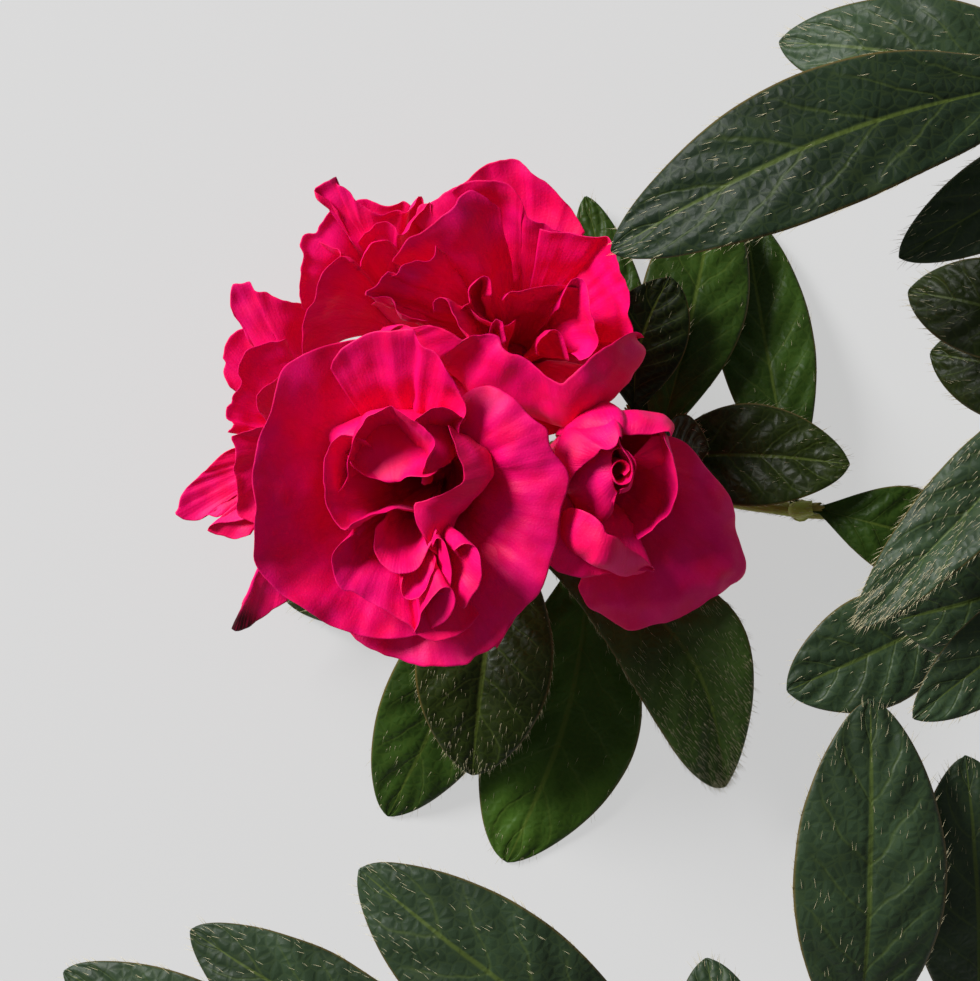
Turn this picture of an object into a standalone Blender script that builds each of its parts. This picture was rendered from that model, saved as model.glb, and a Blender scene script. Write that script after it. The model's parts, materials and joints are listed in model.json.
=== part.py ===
"""A cut flowering azalea branch, lying on its side with five double blooms facing up.

Sizes are in millimetres and become metres when a mesh is made. +Z is up, the floor is z = 0,
+X runs towards the cut end of the main stem. Each limb, bloom and mass of leaves is one solid.
"""

import math
import random
from collections import namedtuple

import bpy
import bmesh
from mathutils import Vector
from mathutils.bvhtree import BVHTree

# ---------------------------------------------------------------- driving dimensions, in mm
MM = 0.001
GAP = 0.3                       # clear space where one solid meets the next
PETAL_THICK = 0.7
LEAF_THICK = 0.8
CLAW_RADIUS = 2.6               # ring on which the petals of a bloom stand
CORE_RADIUS = 4.2               # fleshy tube that joins the claws
CORE_FOOT_RADIUS = 1.6          # where the tube stands on its calyx
PEDICEL_RADIUS = 0.8
CALYX_RADIUS = 2.4
STEM_CUT_RADIUS = 4.0
STEM_FORK_RADIUS = 3.0
SHOOT_RADIUS = 1.7
SHOOT_TIP_RADIUS = 1.3
RECEPTACLE_RADIUS = 3.6         # swollen tip of the flowering shoot
TWIG_RADIUS = 1.0
PETIOLE_RADIUS = 0.8
LIMB_SIDES = 8
TWIG_SIDES = 5
LIMB_STEPS = 3                  # rings of a limb between two of its points
PETAL_COLUMN_DEGREES = 24       # a petal has a facet for so many degrees of its span
PETAL_ROWS = 4
LEAF_STEPS = 6
LEAF_CROWDING = 1.25            # rows of a leaf stand closer towards its blunt tip
LEAF_FULLNESS = 0.62            # lower is blunter at both ends
LEAF_LATENESS = 1.25            # higher puts the widest place nearer the tip
SEED = 7

UP = Vector((0, 0, 1))

# Where the plant stands in the row's frame: its box is centred on X and Y and rests on z = 0.
FRAME_SHIFT = Vector((-62.82, 13.8, -0.2))

# ---------------------------------------------------------------- the limbs
# A limb starts clear of its parent's surface, at a share of the way along it, and runs through
# the points named here.
Limb = namedtuple("Limb", "name parent share points start_radius end_radius")

CUT_END = Vector((198, -30, 4.2))
FORK = Vector((122, -10, 9))
CLUSTER = Vector((2, 12, 12))   # where the five pedicels spring from

LIMBS = (
    Limb("main_stem", None, 0, (CUT_END, Vector((162, -22, 5)), FORK), STEM_CUT_RADIUS, STEM_FORK_RADIUS),
    Limb("flower_shoot", "main_stem", 1.0,
         (Vector((92, -5, 12)), Vector((62, -4, 13)), Vector((34, 1, 10)), Vector((16, 7, 8.5)), CLUSTER),
         SHOOT_RADIUS, SHOOT_TIP_RADIUS),
    Limb("upper_shoot", "main_stem", 0.94,
         (Vector((124, 10, 28)), Vector((116, 38, 62)), Vector((106, 58, 84))), 1.9, 1.2),
    Limb("right_shoot", "main_stem", 0.86,
         (Vector((132, -10, 36)), Vector((121, 2, 62)), Vector((108, 10, 78))), 1.8, 1.2),
    Limb("front_shoot", "main_stem", 0.92,
         (Vector((121, -46, 26)), Vector((106, -80, 48)), Vector((86, -99, 62))), 2.0, 1.4),
    Limb("front_shoot_tip", "front_shoot", 1.0,
         (Vector((66, -107, 68)), Vector((43, -105, 70))), 1.3, 1.1),
)

# ---------------------------------------------------------------- the blooms
# A petal fans out from the claw ring between two bearings about the throat (degrees, 0 = +X).
# reach, rise and lip are its margin's distance from the throat, its height above the throat,
# and the slope of the petal where it ends (0 spreads flat, 90 stands up, over 90 curls in),
# at even steps of bearing. fold is how strongly it bends on its way to the margin: a petal that
# curls in with a large fold shows its back from above.
Petal = namedtuple("Petal", "name start end reach rise lip fold", defaults=(0,))
Bloom = namedtuple("Bloom", "name throat root petals")

FRONT = Bloom("bloom_front", Vector((-16.5, -1, 46)), Vector((-9, 5.5, 22)), (
    Petal("left", 107, 257, (28, 29, 27, 26, 26.5, 29, 28), (3, 8, 9, 10, 10, 9, 4), (10, 25, 35, 35, 30, 25, 10)),
    Petal("top", 38, 113, (18, 25, 29, 26), (10, 14, 12, 6), (110, 70, 45, 25)),
    Petal("right", -66, 58, (32, 31, 30, 30, 27, 25), (5, 7, 9, 10, 11, 8), (-20, -30, -45, -45, -30, 0)),
    Petal("bottom", -115, -46, (27, 30, 32, 30), (0, 3, 4, 4), (0, 5, 5, 0)),
    Petal("lower_left", -142, -58, (15, 20, 24.5, 21), (10, 9, 8, 7), (40, 35, 30, 35)),
    Petal("hood", 22, 198, (8, 12, 15, 14, 12, 11, 10), (10, 15, 17, 17, 16, 14, 10), (80, 90, 95, 95, 90, 85, 60)),
    Petal("dome", 20, 190, (4, 2.5, 2, 3, 6), (11, 12, 12, 12, 11), (165, 170, 175, 170, 150), 18),
    Petal("inner_left", 128, 218, (13, 14, 13, 12, 11), (13, 14, 15, 14, 12), (65, 60, 60, 60, 55)),
    Petal("inner_right", -56, 22, (12, 17, 9, 14), (12, 10, 14, 11), (95, 60, 105, 60)),
))
UPPER = Bloom("bloom_upper", Vector((7.5, 32.5, 38)), Vector((4, 24.5, 18)), (
    Petal("back", 60, 122, (19, 24, 28.5, 30, 27), (-4, -3, -3, -3, -4), (10, 25, 30, 30, 20)),
    Petal("top", 88, 137, (19, 23, 25, 24), (6, 7, 4, 2), (50, 60, 50, 40)),
    Petal("right", -40, 84, (18, 19, 18, 19, 19, 17), (6, 10, 10, 8, 6, 4), (50, 70, 75, 70, 60, 50)),
    Petal("boat", -96, -9, (14.5, 13.5, 13, 15, 21), (13, 14, 15, 15, 13), (150, 150, 145, 125, 80), 23),
    Petal("low", 184, 286, (19, 12, 9.5, 9.7, 12, 14.5), (8, 12, 13, 13, 13, 12), (120, 150, 155, 155, 150, 150), 25),
    Petal("left", 148, 196, (22, 31, 30, 22), (5, 9, 10, 6), (45, 40, 40, 45)),
    Petal("upper_left", 102, 160, (23, 24, 23, 26), (7, 8, 6, 2), (60, 60, 55, 40)),
    Petal("inner_right", -48, 60, (15, 13, 11, 6), (6, 9, 10, 7), (65, 75, 85, 80)),
))
UPPER_LEFT = Bloom("bloom_upper_left", Vector((-22, 41, 30)), Vector((-10.5, 27, 16)), (
    Petal("point", 60, 142, (13, 14.5, 17.5, 20.5, 14), (3, 5, 6, 6, 3), (40, 30, 15, 10, 35)),
    Petal("top", 42, 86, (15, 18.5, 15, 12), (3, 4, 4, 3), (40, 40, 40, 40)),
    Petal("outer_left", 118, 214, (13, 15, 14, 14, 16), (0, 3, 2, 0, -2), (40, 60, 60, 50, 40)),
    Petal("left", 156, 240, (8, 10, 12, 18, 23), (8, 9, 9, 8, 4), (60, 60, 60, 55, 40)),
    Petal("inner", -30, 60, (8, 10, 9), (4, 6, 5), (75, 85, 75)),
))
LEFT = Bloom("bloom_left", Vector((-36.5, 9.5, 26)), Vector((-17, 13, 15)), (
    Petal("top", 82, 122, (20, 29, 33, 27), (2, 4, 5, 3), (30, 25, 10, 15)),
    Petal("upper", 108, 150, (22, 24.5, 22.5, 17), (-2, -2, -2, -3), (20, 15, 10, 15)),
    Petal("middle", 88, 178, (17, 19, 17, 14, 13), (5, 5, 5, 5, 3), (55, 35, 30, 30, 30)),
    Petal("low", 150, 248, (8, 12, 13, 14, 17, 17), (3, 3, 3, 3, 2, 1), (40, 20, 20, 20, 20, 20)),
    Petal("tip", 176, 224, (15, 22, 29, 20), (-4, -5, -6, -6), (10, 0, 0, 0)),
    Petal("withered", -113, -90, (37, 39, 33), (-9, -9, -7), (-20, -20, 0)),
))
SIDE = Bloom("bloom_side", Vector((24, 4, 42)), Vector((14, 7.5, 21)), (
    Petal("right", -112, 44, (23, 29, 29.5, 28, 18.5, 13.5, 11), (-1, 2, 4, 5, 5, 5, 5), (15, 15, 15, 15, 20, 30, 40)),
    Petal("low", -152, -72, (13, 22, 21, 19), (8, 3, 5, 8), (60, 0, -10, 0)),
    Petal("top", 30, 152, (10, 11, 11, 10.5, 11, 10), (10, 10, 9, 8, 8, 6), (70, 60, 60, 60, 60, 50)),
    Petal("wrap", -56, 60, (12, 11, 9.5, 9, 9.5, 8), (7, 10, 11, 12, 12, 11), (80, 90, 95, 95, 95, 90)),
    Petal("left_fold", 99, 196, (6, 6, 6, 8, 9), (13, 12, 11, 9, 8), (100, 85, 80, 75, 70)),
))
BLOOMS = (FRONT, UPPER, SIDE, UPPER_LEFT, LEFT)

# ---------------------------------------------------------------- the masses of leaves
# A leaf springs from its mass's stem (share of the way along it) and ends at tip.
# roll banks the blade about its own length, fold closes it along the midrib and arch lifts
# its middle, in degrees, degrees and hundredths of its length.
Leaf = namedtuple("Leaf", "name along tip width roll fold arch")
Mass = namedtuple("Mass", "name parent share stem leaves whorl space")
Whorl = namedtuple("Whorl", "count length width bearing_from bearing_to rise")

MASSES = (
    Mass("leaves_low", "flower_shoot", 0.88, (Vector((7, -1, 9)), Vector((3.5, -7, 10))), (
        Leaf("far_left", 1.0, Vector((-21, -67, 0.6)), 23, 0, 10, 10),
        Leaf("dark", 0.8, Vector((-3.5, -56.5, 14)), 29, 0, 22, 12),
        Leaf("hidden", 0.8, Vector((-42, -22.5, 0.6)), 22, 0, 15, 12),
    ), None, 80),
    Mass("leaves_middle", "flower_shoot", 0.66, (Vector((26, -7, 11)), Vector((19, -17, 12.5))), (
        Leaf("back", 0.6, Vector((3.5, -76.5, 0.6)), 28, 0, 6, 1),
        Leaf("hairy", 1.0, Vector((46, -58.5, 16)), 27, -8, 24, 14),
    ), None, 80),
    Mass("leaves_upper", "flower_shoot", 0.68, (Vector((34, 9, 11.5)), Vector((29, 15, 12.5))), (
        Leaf("dark", 1.0, Vector((35, 42.5, 22)), 18, 0, 16, 8),
        Leaf("middle", 0.4, Vector((45.5, 60.5, 8)), 22, 0, 12, 10),
        Leaf("tip", 0.7, Vector((19.5, 60, 4)), 13, 0, 8, 0),
        Leaf("right", 0.2, Vector((69, 5, 27)), 20, 8, 16, 9),
        Leaf("small", 0.5, Vector((42, 8, 27)), 13, 0, 16, 8),
    ), None, 70),
    Mass("leaves_node", "flower_shoot", 0.4, (Vector((60.5, -3.8, 17)), Vector((63.5, -3.4, 18))), (
        Leaf("up", 0.4, Vector((52.5, 57, 0.6)), 20, 0, 8, 1),
        Leaf("right", 1.0, Vector((94, -11, 15)), 18, 0, 8, 14),
    ), None, 70),
    Mass("leaves_top", "upper_shoot", 1.0, (Vector((103, 62, 90)), Vector((95, 65.5, 96))), (
        Leaf("long", 0.9, Vector((19, 37.5, 94)), 23, -10, 14, 12),
        Leaf("back", 0.4, Vector((47.5, 73.5, 80)), 20, 0, 12, 10),
        Leaf("low", 0.3, Vector((65, 37, 90)), 15, 0, 14, 8),
    ), Whorl(4, 42, 17, -60, 95, 0.1), 95),
    Mass("leaves_side", "right_shoot", 0.98, (Vector((106, 18, 84)), Vector((97, 25, 91))), (
        Leaf("folded", 1.0, Vector((57, -21.5, 96)), 16, -30, 30, 10),
        Leaf("second", 0.8, Vector((70.5, 33.5, 72)), 17, 0, 14, 8),
        Leaf("third", 0.3, Vector((77, 24, 60)), 19, 0, 12, 8),
    ), Whorl(3, 40, 16, -70, 20, 0.1), 70),
    Mass("leaves_near", "right_shoot", 0.94, (Vector((106, -3, 80)), Vector((97, -12, 82))), (
        Leaf("broad", 1.0, Vector((67.5, -21.5, 76)), 25, 20, 16, 8),
        Leaf("end", 0.9, Vector((67, -36, 91)), 14, 0, 14, 8),
    ), Whorl(3, 38, 16, -120, -20, 0.1), 60),
    Mass("leaves_low_side", "front_shoot", 0.42, (Vector((106, -32, 38)), Vector((90, -20, 46))), (
        Leaf("round", 1.0, Vector((53.5, -36, 50)), 21, 0, 12, 6),
    ), Whorl(3, 36, 16, -60, 60, 0.05), 70),
    Mass("leaves_front", "front_shoot", 0.97, (Vector((82, -94.5, 69.5)), Vector((60, -96, 75))), (
        Leaf("tall", 1.0, Vector((60, -33, 92)), 25, 0, 12, 10),
        Leaf("second", 0.5, Vector((77, -43, 84)), 22, 0, 12, 10),
    ), Whorl(4, 38, 18, -160, 0, 0.1), 80),
    Mass("leaves_front_left", "front_shoot_tip", 1.0, (Vector((12, -101, 71)), Vector((-20, -103, 68))), (
        Leaf("upper", 0.2, Vector((-21.5, -62.5, 78)), 25, 0, 12, 8),
        Leaf("middle", 0.65, Vector((-50, -73.5, 74)), 19, 0, 12, 8),
        Leaf("lower", 1.0, Vector((-73, -82.5, 66)), 18, 0, 12, 8),
        Leaf("short", 0.05, Vector((37, -80, 67)), 14, 0, 12, 8),
    ), Whorl(4, 36, 17, 330, 190, 0.1), 75),
)

# Height share and radius up the swollen tip of the flowering shoot.
RECEPTACLE_PROFILE = ((0, 1.3), (0.2, 2.6), (0.5, 3.3), (0.8, 2.6), (1, 1.2))

# ---------------------------------------------------------------- colours
CRIMSON = (0.62, 0.0, 0.06, 1)
LEAF_GREEN = (0.03, 0.09, 0.03, 1)
SHOOT_GREEN = (0.20, 0.22, 0.08, 1)
BARK_BROWN = (0.20, 0.13, 0.08, 1)


def material(name, colour, roughness):
    made = bpy.data.materials.new(name)
    made.use_nodes = True
    shader = made.node_tree.nodes["Principled BSDF"]
    shader.inputs["Base Color"].default_value = colour
    shader.inputs["Roughness"].default_value = roughness
    shader.inputs["Metallic"].default_value = 0.0
    return made


# ---------------------------------------------------------------- smooth curves
def blend_values(values, share):
    """A smooth curve through evenly spaced values, read at a share from 0 to 1."""
    last = len(values) - 1
    place = min(max(share, 0.0), 1.0) * last
    cell = min(int(place), last - 1)
    t = place - cell
    a = values[max(cell - 1, 0)]
    b = values[cell]
    c = values[cell + 1]
    d = values[min(cell + 2, last)]
    return (b * 2 + (c - a) * t + (a * 2 - b * 5 + c * 4 - d) * t ** 2
            + (b * 3 - a - c * 3 + d) * t ** 3) * 0.5


def bezier(a, b, c, d, t):
    s = 1 - t
    return a * s ** 3 + b * 3 * s * s * t + c * 3 * s * t * t + d * t ** 3


# ---------------------------------------------------------------- meshes
def object_of(name, points, faces, finish=None):
    mesh = bpy.data.meshes.new(name)
    mesh.from_pydata([(p + FRAME_SHIFT) * MM for p in points], [], faces)
    tidy = bmesh.new()
    tidy.from_mesh(mesh)
    bmesh.ops.recalc_face_normals(tidy, faces=tidy.faces)
    bmesh.ops.triangulate(tidy, faces=tidy.faces)
    tidy.to_mesh(mesh)
    tidy.free()
    made = bpy.data.objects.new(name, mesh)
    bpy.context.scene.collection.objects.link(made)
    if finish:
        mesh.materials.append(finish)
    return made


def sheet(rows, thickness):
    """Points and faces of a closed blade, half the thickness to each side of a grid of points."""
    height = len(rows)
    width = len(rows[0])

    def normal(j, i):
        across = rows[j][min(i + 1, width - 1)] - rows[j][max(i - 1, 0)]
        along = rows[min(j + 1, height - 1)][i] - rows[max(j - 1, 0)][i]
        return across.cross(along).normalized()

    points = []
    for side in (0.5, -0.5):
        for j in range(height):
            for i in range(width):
                points.append(rows[j][i] + normal(j, i) * thickness * side)
    layer = height * width
    faces = []
    for j in range(height - 1):
        for i in range(width - 1):
            a = j * width + i
            faces.append((a, a + 1, a + 1 + width, a + width))
            faces.append((layer + a + width, layer + a + 1 + width, layer + a + 1, layer + a))
    rim = [i for i in range(width)]
    rim += [j * width + width - 1 for j in range(1, height)]
    rim += [(height - 1) * width + i for i in range(width - 2, -1, -1)]
    rim += [j * width for j in range(height - 2, 0, -1)]
    for place, a in enumerate(rim):
        b = rim[(place + 1) % len(rim)]
        faces.append((a, layer + a, layer + b, b))
    return points, faces


def tube(points, radii, sides):
    """Points and faces of a closed tapering limb along a smooth run of points."""
    made = []
    side_way = UP
    for place, point in enumerate(points):
        after = points[min(place + 1, len(points) - 1)]
        before = points[max(place - 1, 0)]
        forward = (after - before).normalized()
        if abs(forward.dot(side_way)) > 0.95:
            side_way = Vector((1, 0, 0))
        right = forward.cross(side_way).normalized()
        up = right.cross(forward)
        for k in range(sides):
            turn = 2 * math.pi * k / sides
            made.append(point + (right * math.cos(turn) + up * math.sin(turn)) * radii[place])
    faces = [tuple(range(sides))]
    for place in range(len(points) - 1):
        for k in range(sides):
            a = place * sides + k
            b = place * sides + (k + 1) % sides
            faces.append((a, a + sides, b + sides, b))
    faces.append(tuple(range(len(made) - 1, len(made) - 1 - sides, -1)))
    return made, faces


def limb(points, start_radius, end_radius, sides, steps):
    """A limb through a few points, tapering evenly from its start to its end."""
    shares = [k / steps for k in range(steps + 1)]
    run = [blend_values(points, share) for share in shares]
    radii = [start_radius + (end_radius - start_radius) * share for share in shares]
    return tube(run, radii, sides)


def seat(parent, share, toward, radius):
    """Where a limb of this radius starts: clear of its parent, on the line to its next point."""
    aim = blend_values(parent.run, share)
    way = (toward - aim).normalized()
    hit, normal, _, _ = parent.tree.ray_cast(toward, -way)
    lean = way.dot(normal)
    slant = math.sqrt(max(1 - lean * lean, 0.0))
    return hit + way * ((GAP + radius * slant) / lean)


def turned(base, top, profile, sides):
    """A body turned about the line from base to top: pairs of height share and radius."""
    run = [base.lerp(top, share) for share, _ in profile]
    return tube(run, [radius for _, radius in profile], sides)


# ---------------------------------------------------------------- petals and blooms
def petal_rows(bloom, petal, across, along):
    """The grid of a petal: Bezier rays that rise from the claw ring and end on the margin."""
    axis = (bloom.throat - bloom.root).normalized()
    rows = [[] for _ in range(along + 1)]
    for i in range(across + 1):
        share = i / across
        bearing = math.radians(petal.start + (petal.end - petal.start) * share)
        out = Vector((math.cos(bearing), math.sin(bearing), 0))
        reach = blend_values(petal.reach, share)
        rise = blend_values(petal.rise, share)
        lip = math.radians(blend_values(petal.lip, share))
        margin = bloom.throat + out * reach + UP * rise
        claw = bloom.root + (out - axis * out.dot(axis)).normalized() * CLAW_RADIUS
        size = (margin - claw).length
        leave = (axis * 0.9 + out * 0.1) * size * 0.42
        arrive = (out * math.cos(lip) + UP * math.sin(lip)) * (petal.fold or min(size * 0.42, reach * 0.55 + 4))
        for j in range(along + 1):
            rows[j].append(bezier(claw, claw + leave, margin - arrive, margin, j / along))
    return rows


def fused(name, pieces, finish, solver="EXACT"):
    """One solid from many closed pieces, by a Boolean union on a collection of them."""
    first = object_of(name, *pieces[0])
    others = bpy.data.collections.new(name + "_pieces")
    bpy.context.scene.collection.children.link(others)
    for place, (points, faces) in enumerate(pieces[1:]):
        piece = object_of(f"{name}_piece_{place}", points, faces)
        bpy.context.scene.collection.objects.unlink(piece)
        others.objects.link(piece)
    union = first.modifiers.new("union", "BOOLEAN")
    union.operation = "UNION"
    union.solver = solver
    union.operand_type = "COLLECTION"
    union.collection = others
    apply_modifiers(first)
    for piece in list(others.objects):
        bpy.data.objects.remove(piece)
    bpy.data.collections.remove(others)
    keep_outer_shell(first)
    first.data.materials.clear()
    first.data.materials.append(finish)
    return first


def apply_modifiers(made):
    graph = bpy.context.evaluated_depsgraph_get()
    graph.update()
    mesh = bpy.data.meshes.new_from_object(made.evaluated_get(graph))
    made.modifiers.clear()
    made.data = mesh


def keep_outer_shell(made):
    """Drops loose scraps and fills sealed hollows: only the largest closed shell stays."""
    work = bmesh.new()
    work.from_mesh(made.data)
    left = set(work.faces)
    shells = []
    while left:
        shell = {left.pop()}
        edge_of_shell = list(shell)
        while edge_of_shell:
            face = edge_of_shell.pop()
            for edge in face.edges:
                for other in edge.link_faces:
                    if other in left:
                        left.remove(other)
                        shell.add(other)
                        edge_of_shell.append(other)
        shells.append(shell)
    largest = max(shells, key=len)
    dropped = [face for shell in shells if shell is not largest for face in shell]
    bmesh.ops.delete(work, geom=dropped, context="FACES")
    bmesh.ops.triangulate(work, faces=work.faces)
    work.to_mesh(made.data)
    work.free()


def make_bloom(bloom, finish):
    core = turned(
        bloom.root - (bloom.throat - bloom.root).normalized() * 1.0,
        bloom.root.lerp(bloom.throat, 0.45),
        ((0, CORE_FOOT_RADIUS), (0.15, CLAW_RADIUS + 0.6), (0.6, CORE_RADIUS * 0.9), (1, CORE_RADIUS * 0.7)), 8)
    pieces = [core]
    for petal in bloom.petals:
        span = abs(petal.end - petal.start)
        across = max(3, round(span / PETAL_COLUMN_DEGREES))
        pieces.append(sheet(petal_rows(bloom, petal, across, PETAL_ROWS), PETAL_THICK))
    return fused(bloom.name, pieces, finish, "MANIFOLD")


def make_pedicel(bloom, finish):
    axis = (bloom.throat - bloom.root).normalized()
    top = bloom.root - axis * (1.0 + GAP)
    start = CLUSTER + (top - CLUSTER).normalized() * (RECEPTACLE_RADIUS + GAP)
    bend = top - axis * 5
    run = [bezier(start, start.lerp(top, 0.4), bend, top, k / 8) for k in range(9)]
    radii = [PEDICEL_RADIUS] * 6 + [CALYX_RADIUS * 0.6, CALYX_RADIUS, CORE_FOOT_RADIUS]
    points, faces = tube(run, radii, LIMB_SIDES)
    return object_of(bloom.name.replace("bloom", "pedicel"), points, faces, finish)


# ---------------------------------------------------------------- leaves
def leaf_rows(base, leaf, steps, half_columns):
    """The grid of a leaf: widest past its middle, blunt, folded along its midrib."""
    length = (leaf.tip - base).length
    forward = (leaf.tip - base).normalized()
    right = forward.cross(UP).normalized()
    up = right.cross(forward)
    roll = math.radians(leaf.roll)
    right, up = right * math.cos(roll) + up * math.sin(roll), up * math.cos(roll) - right * math.sin(roll)
    fold = math.radians(leaf.fold)
    rows = []
    for j in range(steps + 1):
        t = 1 - (1 - j / steps) ** LEAF_CROWDING
        middle = base.lerp(leaf.tip, t) + up * (length * leaf.arch / 100 * math.sin(math.pi * t))
        fullness = max(math.sin(math.pi * t ** LEAF_LATENESS), 0.0) ** LEAF_FULLNESS
        half = max(leaf.width / 2 * fullness, PETIOLE_RADIUS * (1 - t) + 0.25)
        row = []
        for i in range(-half_columns, half_columns + 1):
            side = i / half_columns
            out = right * math.cos(fold) * side * half
            lift = up * math.sin(fold) * abs(side) * half
            curl = up * (-0.10 * half * side * side)
            row.append(middle + out + lift + curl)
        rows.append(row)
    return rows


def whorl_leaves(mass, spin):
    """The leaves round a stem's tip that a seeded rule adds: even in bearing, uneven in length."""
    added = []
    if not mass.whorl:
        return added
    whorl = mass.whorl
    for k in range(whorl.count):
        share = (k + 0.5) / whorl.count
        bearing = math.radians(whorl.bearing_from + (whorl.bearing_to - whorl.bearing_from) * share
                               + spin.uniform(-8, 8))
        length = whorl.length * spin.uniform(0.82, 1.08)
        lift = whorl.rise + spin.uniform(-0.15, 0.2)
        way = Vector((math.cos(bearing), math.sin(bearing), lift)).normalized()
        along = 0.35 + 0.6 * share
        tip = blend_values(mass.stem, along) + way * length
        width = whorl.width * spin.uniform(0.9, 1.1)
        added.append(Leaf(f"whorl_{k}", along, tip, width, spin.uniform(-15, 15), 14, 9))
    return added


def make_mass(mass, made, finish, spin):
    start = seat(made[mass.parent], mass.share, mass.stem[0], TWIG_RADIUS)
    stem = (start,) + mass.stem
    pieces = [limb(stem, TWIG_RADIUS, TWIG_RADIUS * 0.8, TWIG_SIDES, 5)]
    outer_blades = [shape.tree for shape in made.values()]
    for leaf in list(mass.leaves) + whorl_leaves(mass, spin):
        base = blend_values(stem, leaf.along)
        rows = leaf_rows(base, leaf, LEAF_STEPS, 1)
        outer = BVHTree.FromPolygons(*sheet(rows[2:], LEAF_THICK + GAP))
        leaves_space = (leaf.tip - stem[-1]).length > mass.space
        if leaves_space or any(outer.overlap(other) for other in outer_blades):
            continue
        pieces.append(sheet(rows, LEAF_THICK))
        outer_blades.append(outer)
    return fused(mass.name, pieces, finish, "MANIFOLD")


# ---------------------------------------------------------------- the branch
Made = namedtuple("Made", "run tree")


def make_limb(row, made, finish):
    points = row.points
    if row.parent:
        points = (seat(made[row.parent], row.share, points[0], row.start_radius),) + points
    steps = LIMB_STEPS * (len(points) - 1)
    shape = limb(points, row.start_radius, row.end_radius, LIMB_SIDES, steps)
    made[row.name] = Made(points, BVHTree.FromPolygons(*shape))
    if row.name == "flower_shoot":
        fused(row.name, [shape, receptacle(row.points)], finish, "MANIFOLD")
    else:
        object_of(row.name, *shape, finish)


def receptacle(points):
    """The swollen shoot tip that the pedicels stand round."""
    way = (points[-1] - points[-2]).normalized()
    base = CLUSTER - way * RECEPTACLE_RADIUS
    top = CLUSTER + way * RECEPTACLE_RADIUS * 0.9
    return turned(base, top, RECEPTACLE_PROFILE, LIMB_SIDES)


def main():
    for old in list(bpy.data.objects):
        bpy.data.objects.remove(old)
    petals = material("petals", CRIMSON, 0.55)
    leaves = material("leaves", LEAF_GREEN, 0.45)
    green_stem = material("green_stem", SHOOT_GREEN, 0.6)
    bark = material("bark", BARK_BROWN, 0.85)
    spin = random.Random(SEED)
    made = {}
    for row in LIMBS:
        make_limb(row, made, bark if row.name == "main_stem" else green_stem)
    for bloom in BLOOMS:
        make_bloom(bloom, petals)
        make_pedicel(bloom, green_stem)
    for mass in MASSES:
        make_mass(mass, made, leaves, spin)


main()
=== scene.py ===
import json
import math
import random
from collections import namedtuple

import bpy
import numpy as np
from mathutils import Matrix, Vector, noise

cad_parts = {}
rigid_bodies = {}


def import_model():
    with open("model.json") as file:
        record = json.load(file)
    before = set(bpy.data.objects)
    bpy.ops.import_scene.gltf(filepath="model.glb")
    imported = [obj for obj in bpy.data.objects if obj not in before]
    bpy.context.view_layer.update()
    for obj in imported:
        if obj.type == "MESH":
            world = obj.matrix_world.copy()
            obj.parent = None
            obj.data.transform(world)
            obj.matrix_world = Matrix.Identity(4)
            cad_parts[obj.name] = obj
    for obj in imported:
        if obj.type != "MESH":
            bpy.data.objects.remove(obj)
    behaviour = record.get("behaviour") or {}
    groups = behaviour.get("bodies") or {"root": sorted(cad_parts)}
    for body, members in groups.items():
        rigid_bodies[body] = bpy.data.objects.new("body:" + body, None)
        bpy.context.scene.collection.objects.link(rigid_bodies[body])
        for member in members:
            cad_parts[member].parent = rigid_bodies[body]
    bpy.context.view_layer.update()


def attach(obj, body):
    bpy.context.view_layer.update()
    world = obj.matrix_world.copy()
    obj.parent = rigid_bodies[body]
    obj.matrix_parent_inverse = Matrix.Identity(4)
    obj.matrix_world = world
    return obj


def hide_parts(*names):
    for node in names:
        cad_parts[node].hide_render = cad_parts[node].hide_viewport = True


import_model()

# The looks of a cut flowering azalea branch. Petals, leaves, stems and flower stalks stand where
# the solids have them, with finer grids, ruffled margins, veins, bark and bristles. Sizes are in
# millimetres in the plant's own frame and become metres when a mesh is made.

# ---------------------------------------------------------------- driving dimensions, in mm
MM = 0.001
PLANT_TO_ROW = np.array((-62.82, 13.8, -0.2))   # where the plant's frame stands in the row's
UP = np.array((0.0, 0.0, 1.0))
GROUND = -PLANT_TO_ROW[2]

CAMERA_HEIGHT = 390.0
CAMERA_FOCAL_PIXELS = 1890.0
PHOTO_LONG_SIDE = 981.0
VIEW_MIDDLE = (490.0, 490.5)    # the pixel that the plant's own origin lies at
SENSOR = 36.0

PETAL_THICK = 0.42
PETAL_COLUMNS = 110             # at most
COLUMN_WIDTH = 0.55             # of a petal's grid at its margin
MARGIN_STEPS = 300              # in which a margin is drawn through its named points
PETAL_ROWS = 40
PETAL_CROWDING = 1.35           # rows stand closer towards the margin
CLAW_RADIUS = 2.6
CORE_RADIUS = 4.2
CORE_FOOT_RADIUS = 1.6
LEAF_THICK = 0.42
LEAF_ROWS = 54
LEAF_COLUMNS = 28
LEAF_CROWDING = 1.25
LEAF_FULLNESS = 0.62
LEAF_LATENESS = 1.25
LEAF_VEINS = 7.0                # pairs of side veins
LEAF_VEIN_SLOPE = 1.5           # how far forward a side vein runs, in spacings
PETIOLE_RADIUS = 0.8
TWIG_RADIUS = 1.0
NODE_RADIUS = 1.9               # where the shoot swells under the leaves of its node
PEDICEL_RADIUS = 0.8
CALYX_RADIUS = 2.4
RECEPTACLE_RADIUS = 3.6
HAIR_RADIUS = 0.042
LEAF_HAIR = (0.9, 2.3)          # shortest and longest
STEM_BRISTLE = (0.7, 1.6)
PEDICEL_BRISTLE = (0.7, 1.5)
PEDICEL_BRISTLES = 90
WAVE_LENGTH = 6.5               # of a petal's margin
FLUTTER_LENGTH = 2.6
CREASE_WIDTH = 1.9
SWELL_SIZES = (8.0, 3.5)        # of the broad and the small swellings in a petal's blade
SWELL_HEIGHT = 1.1
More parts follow.
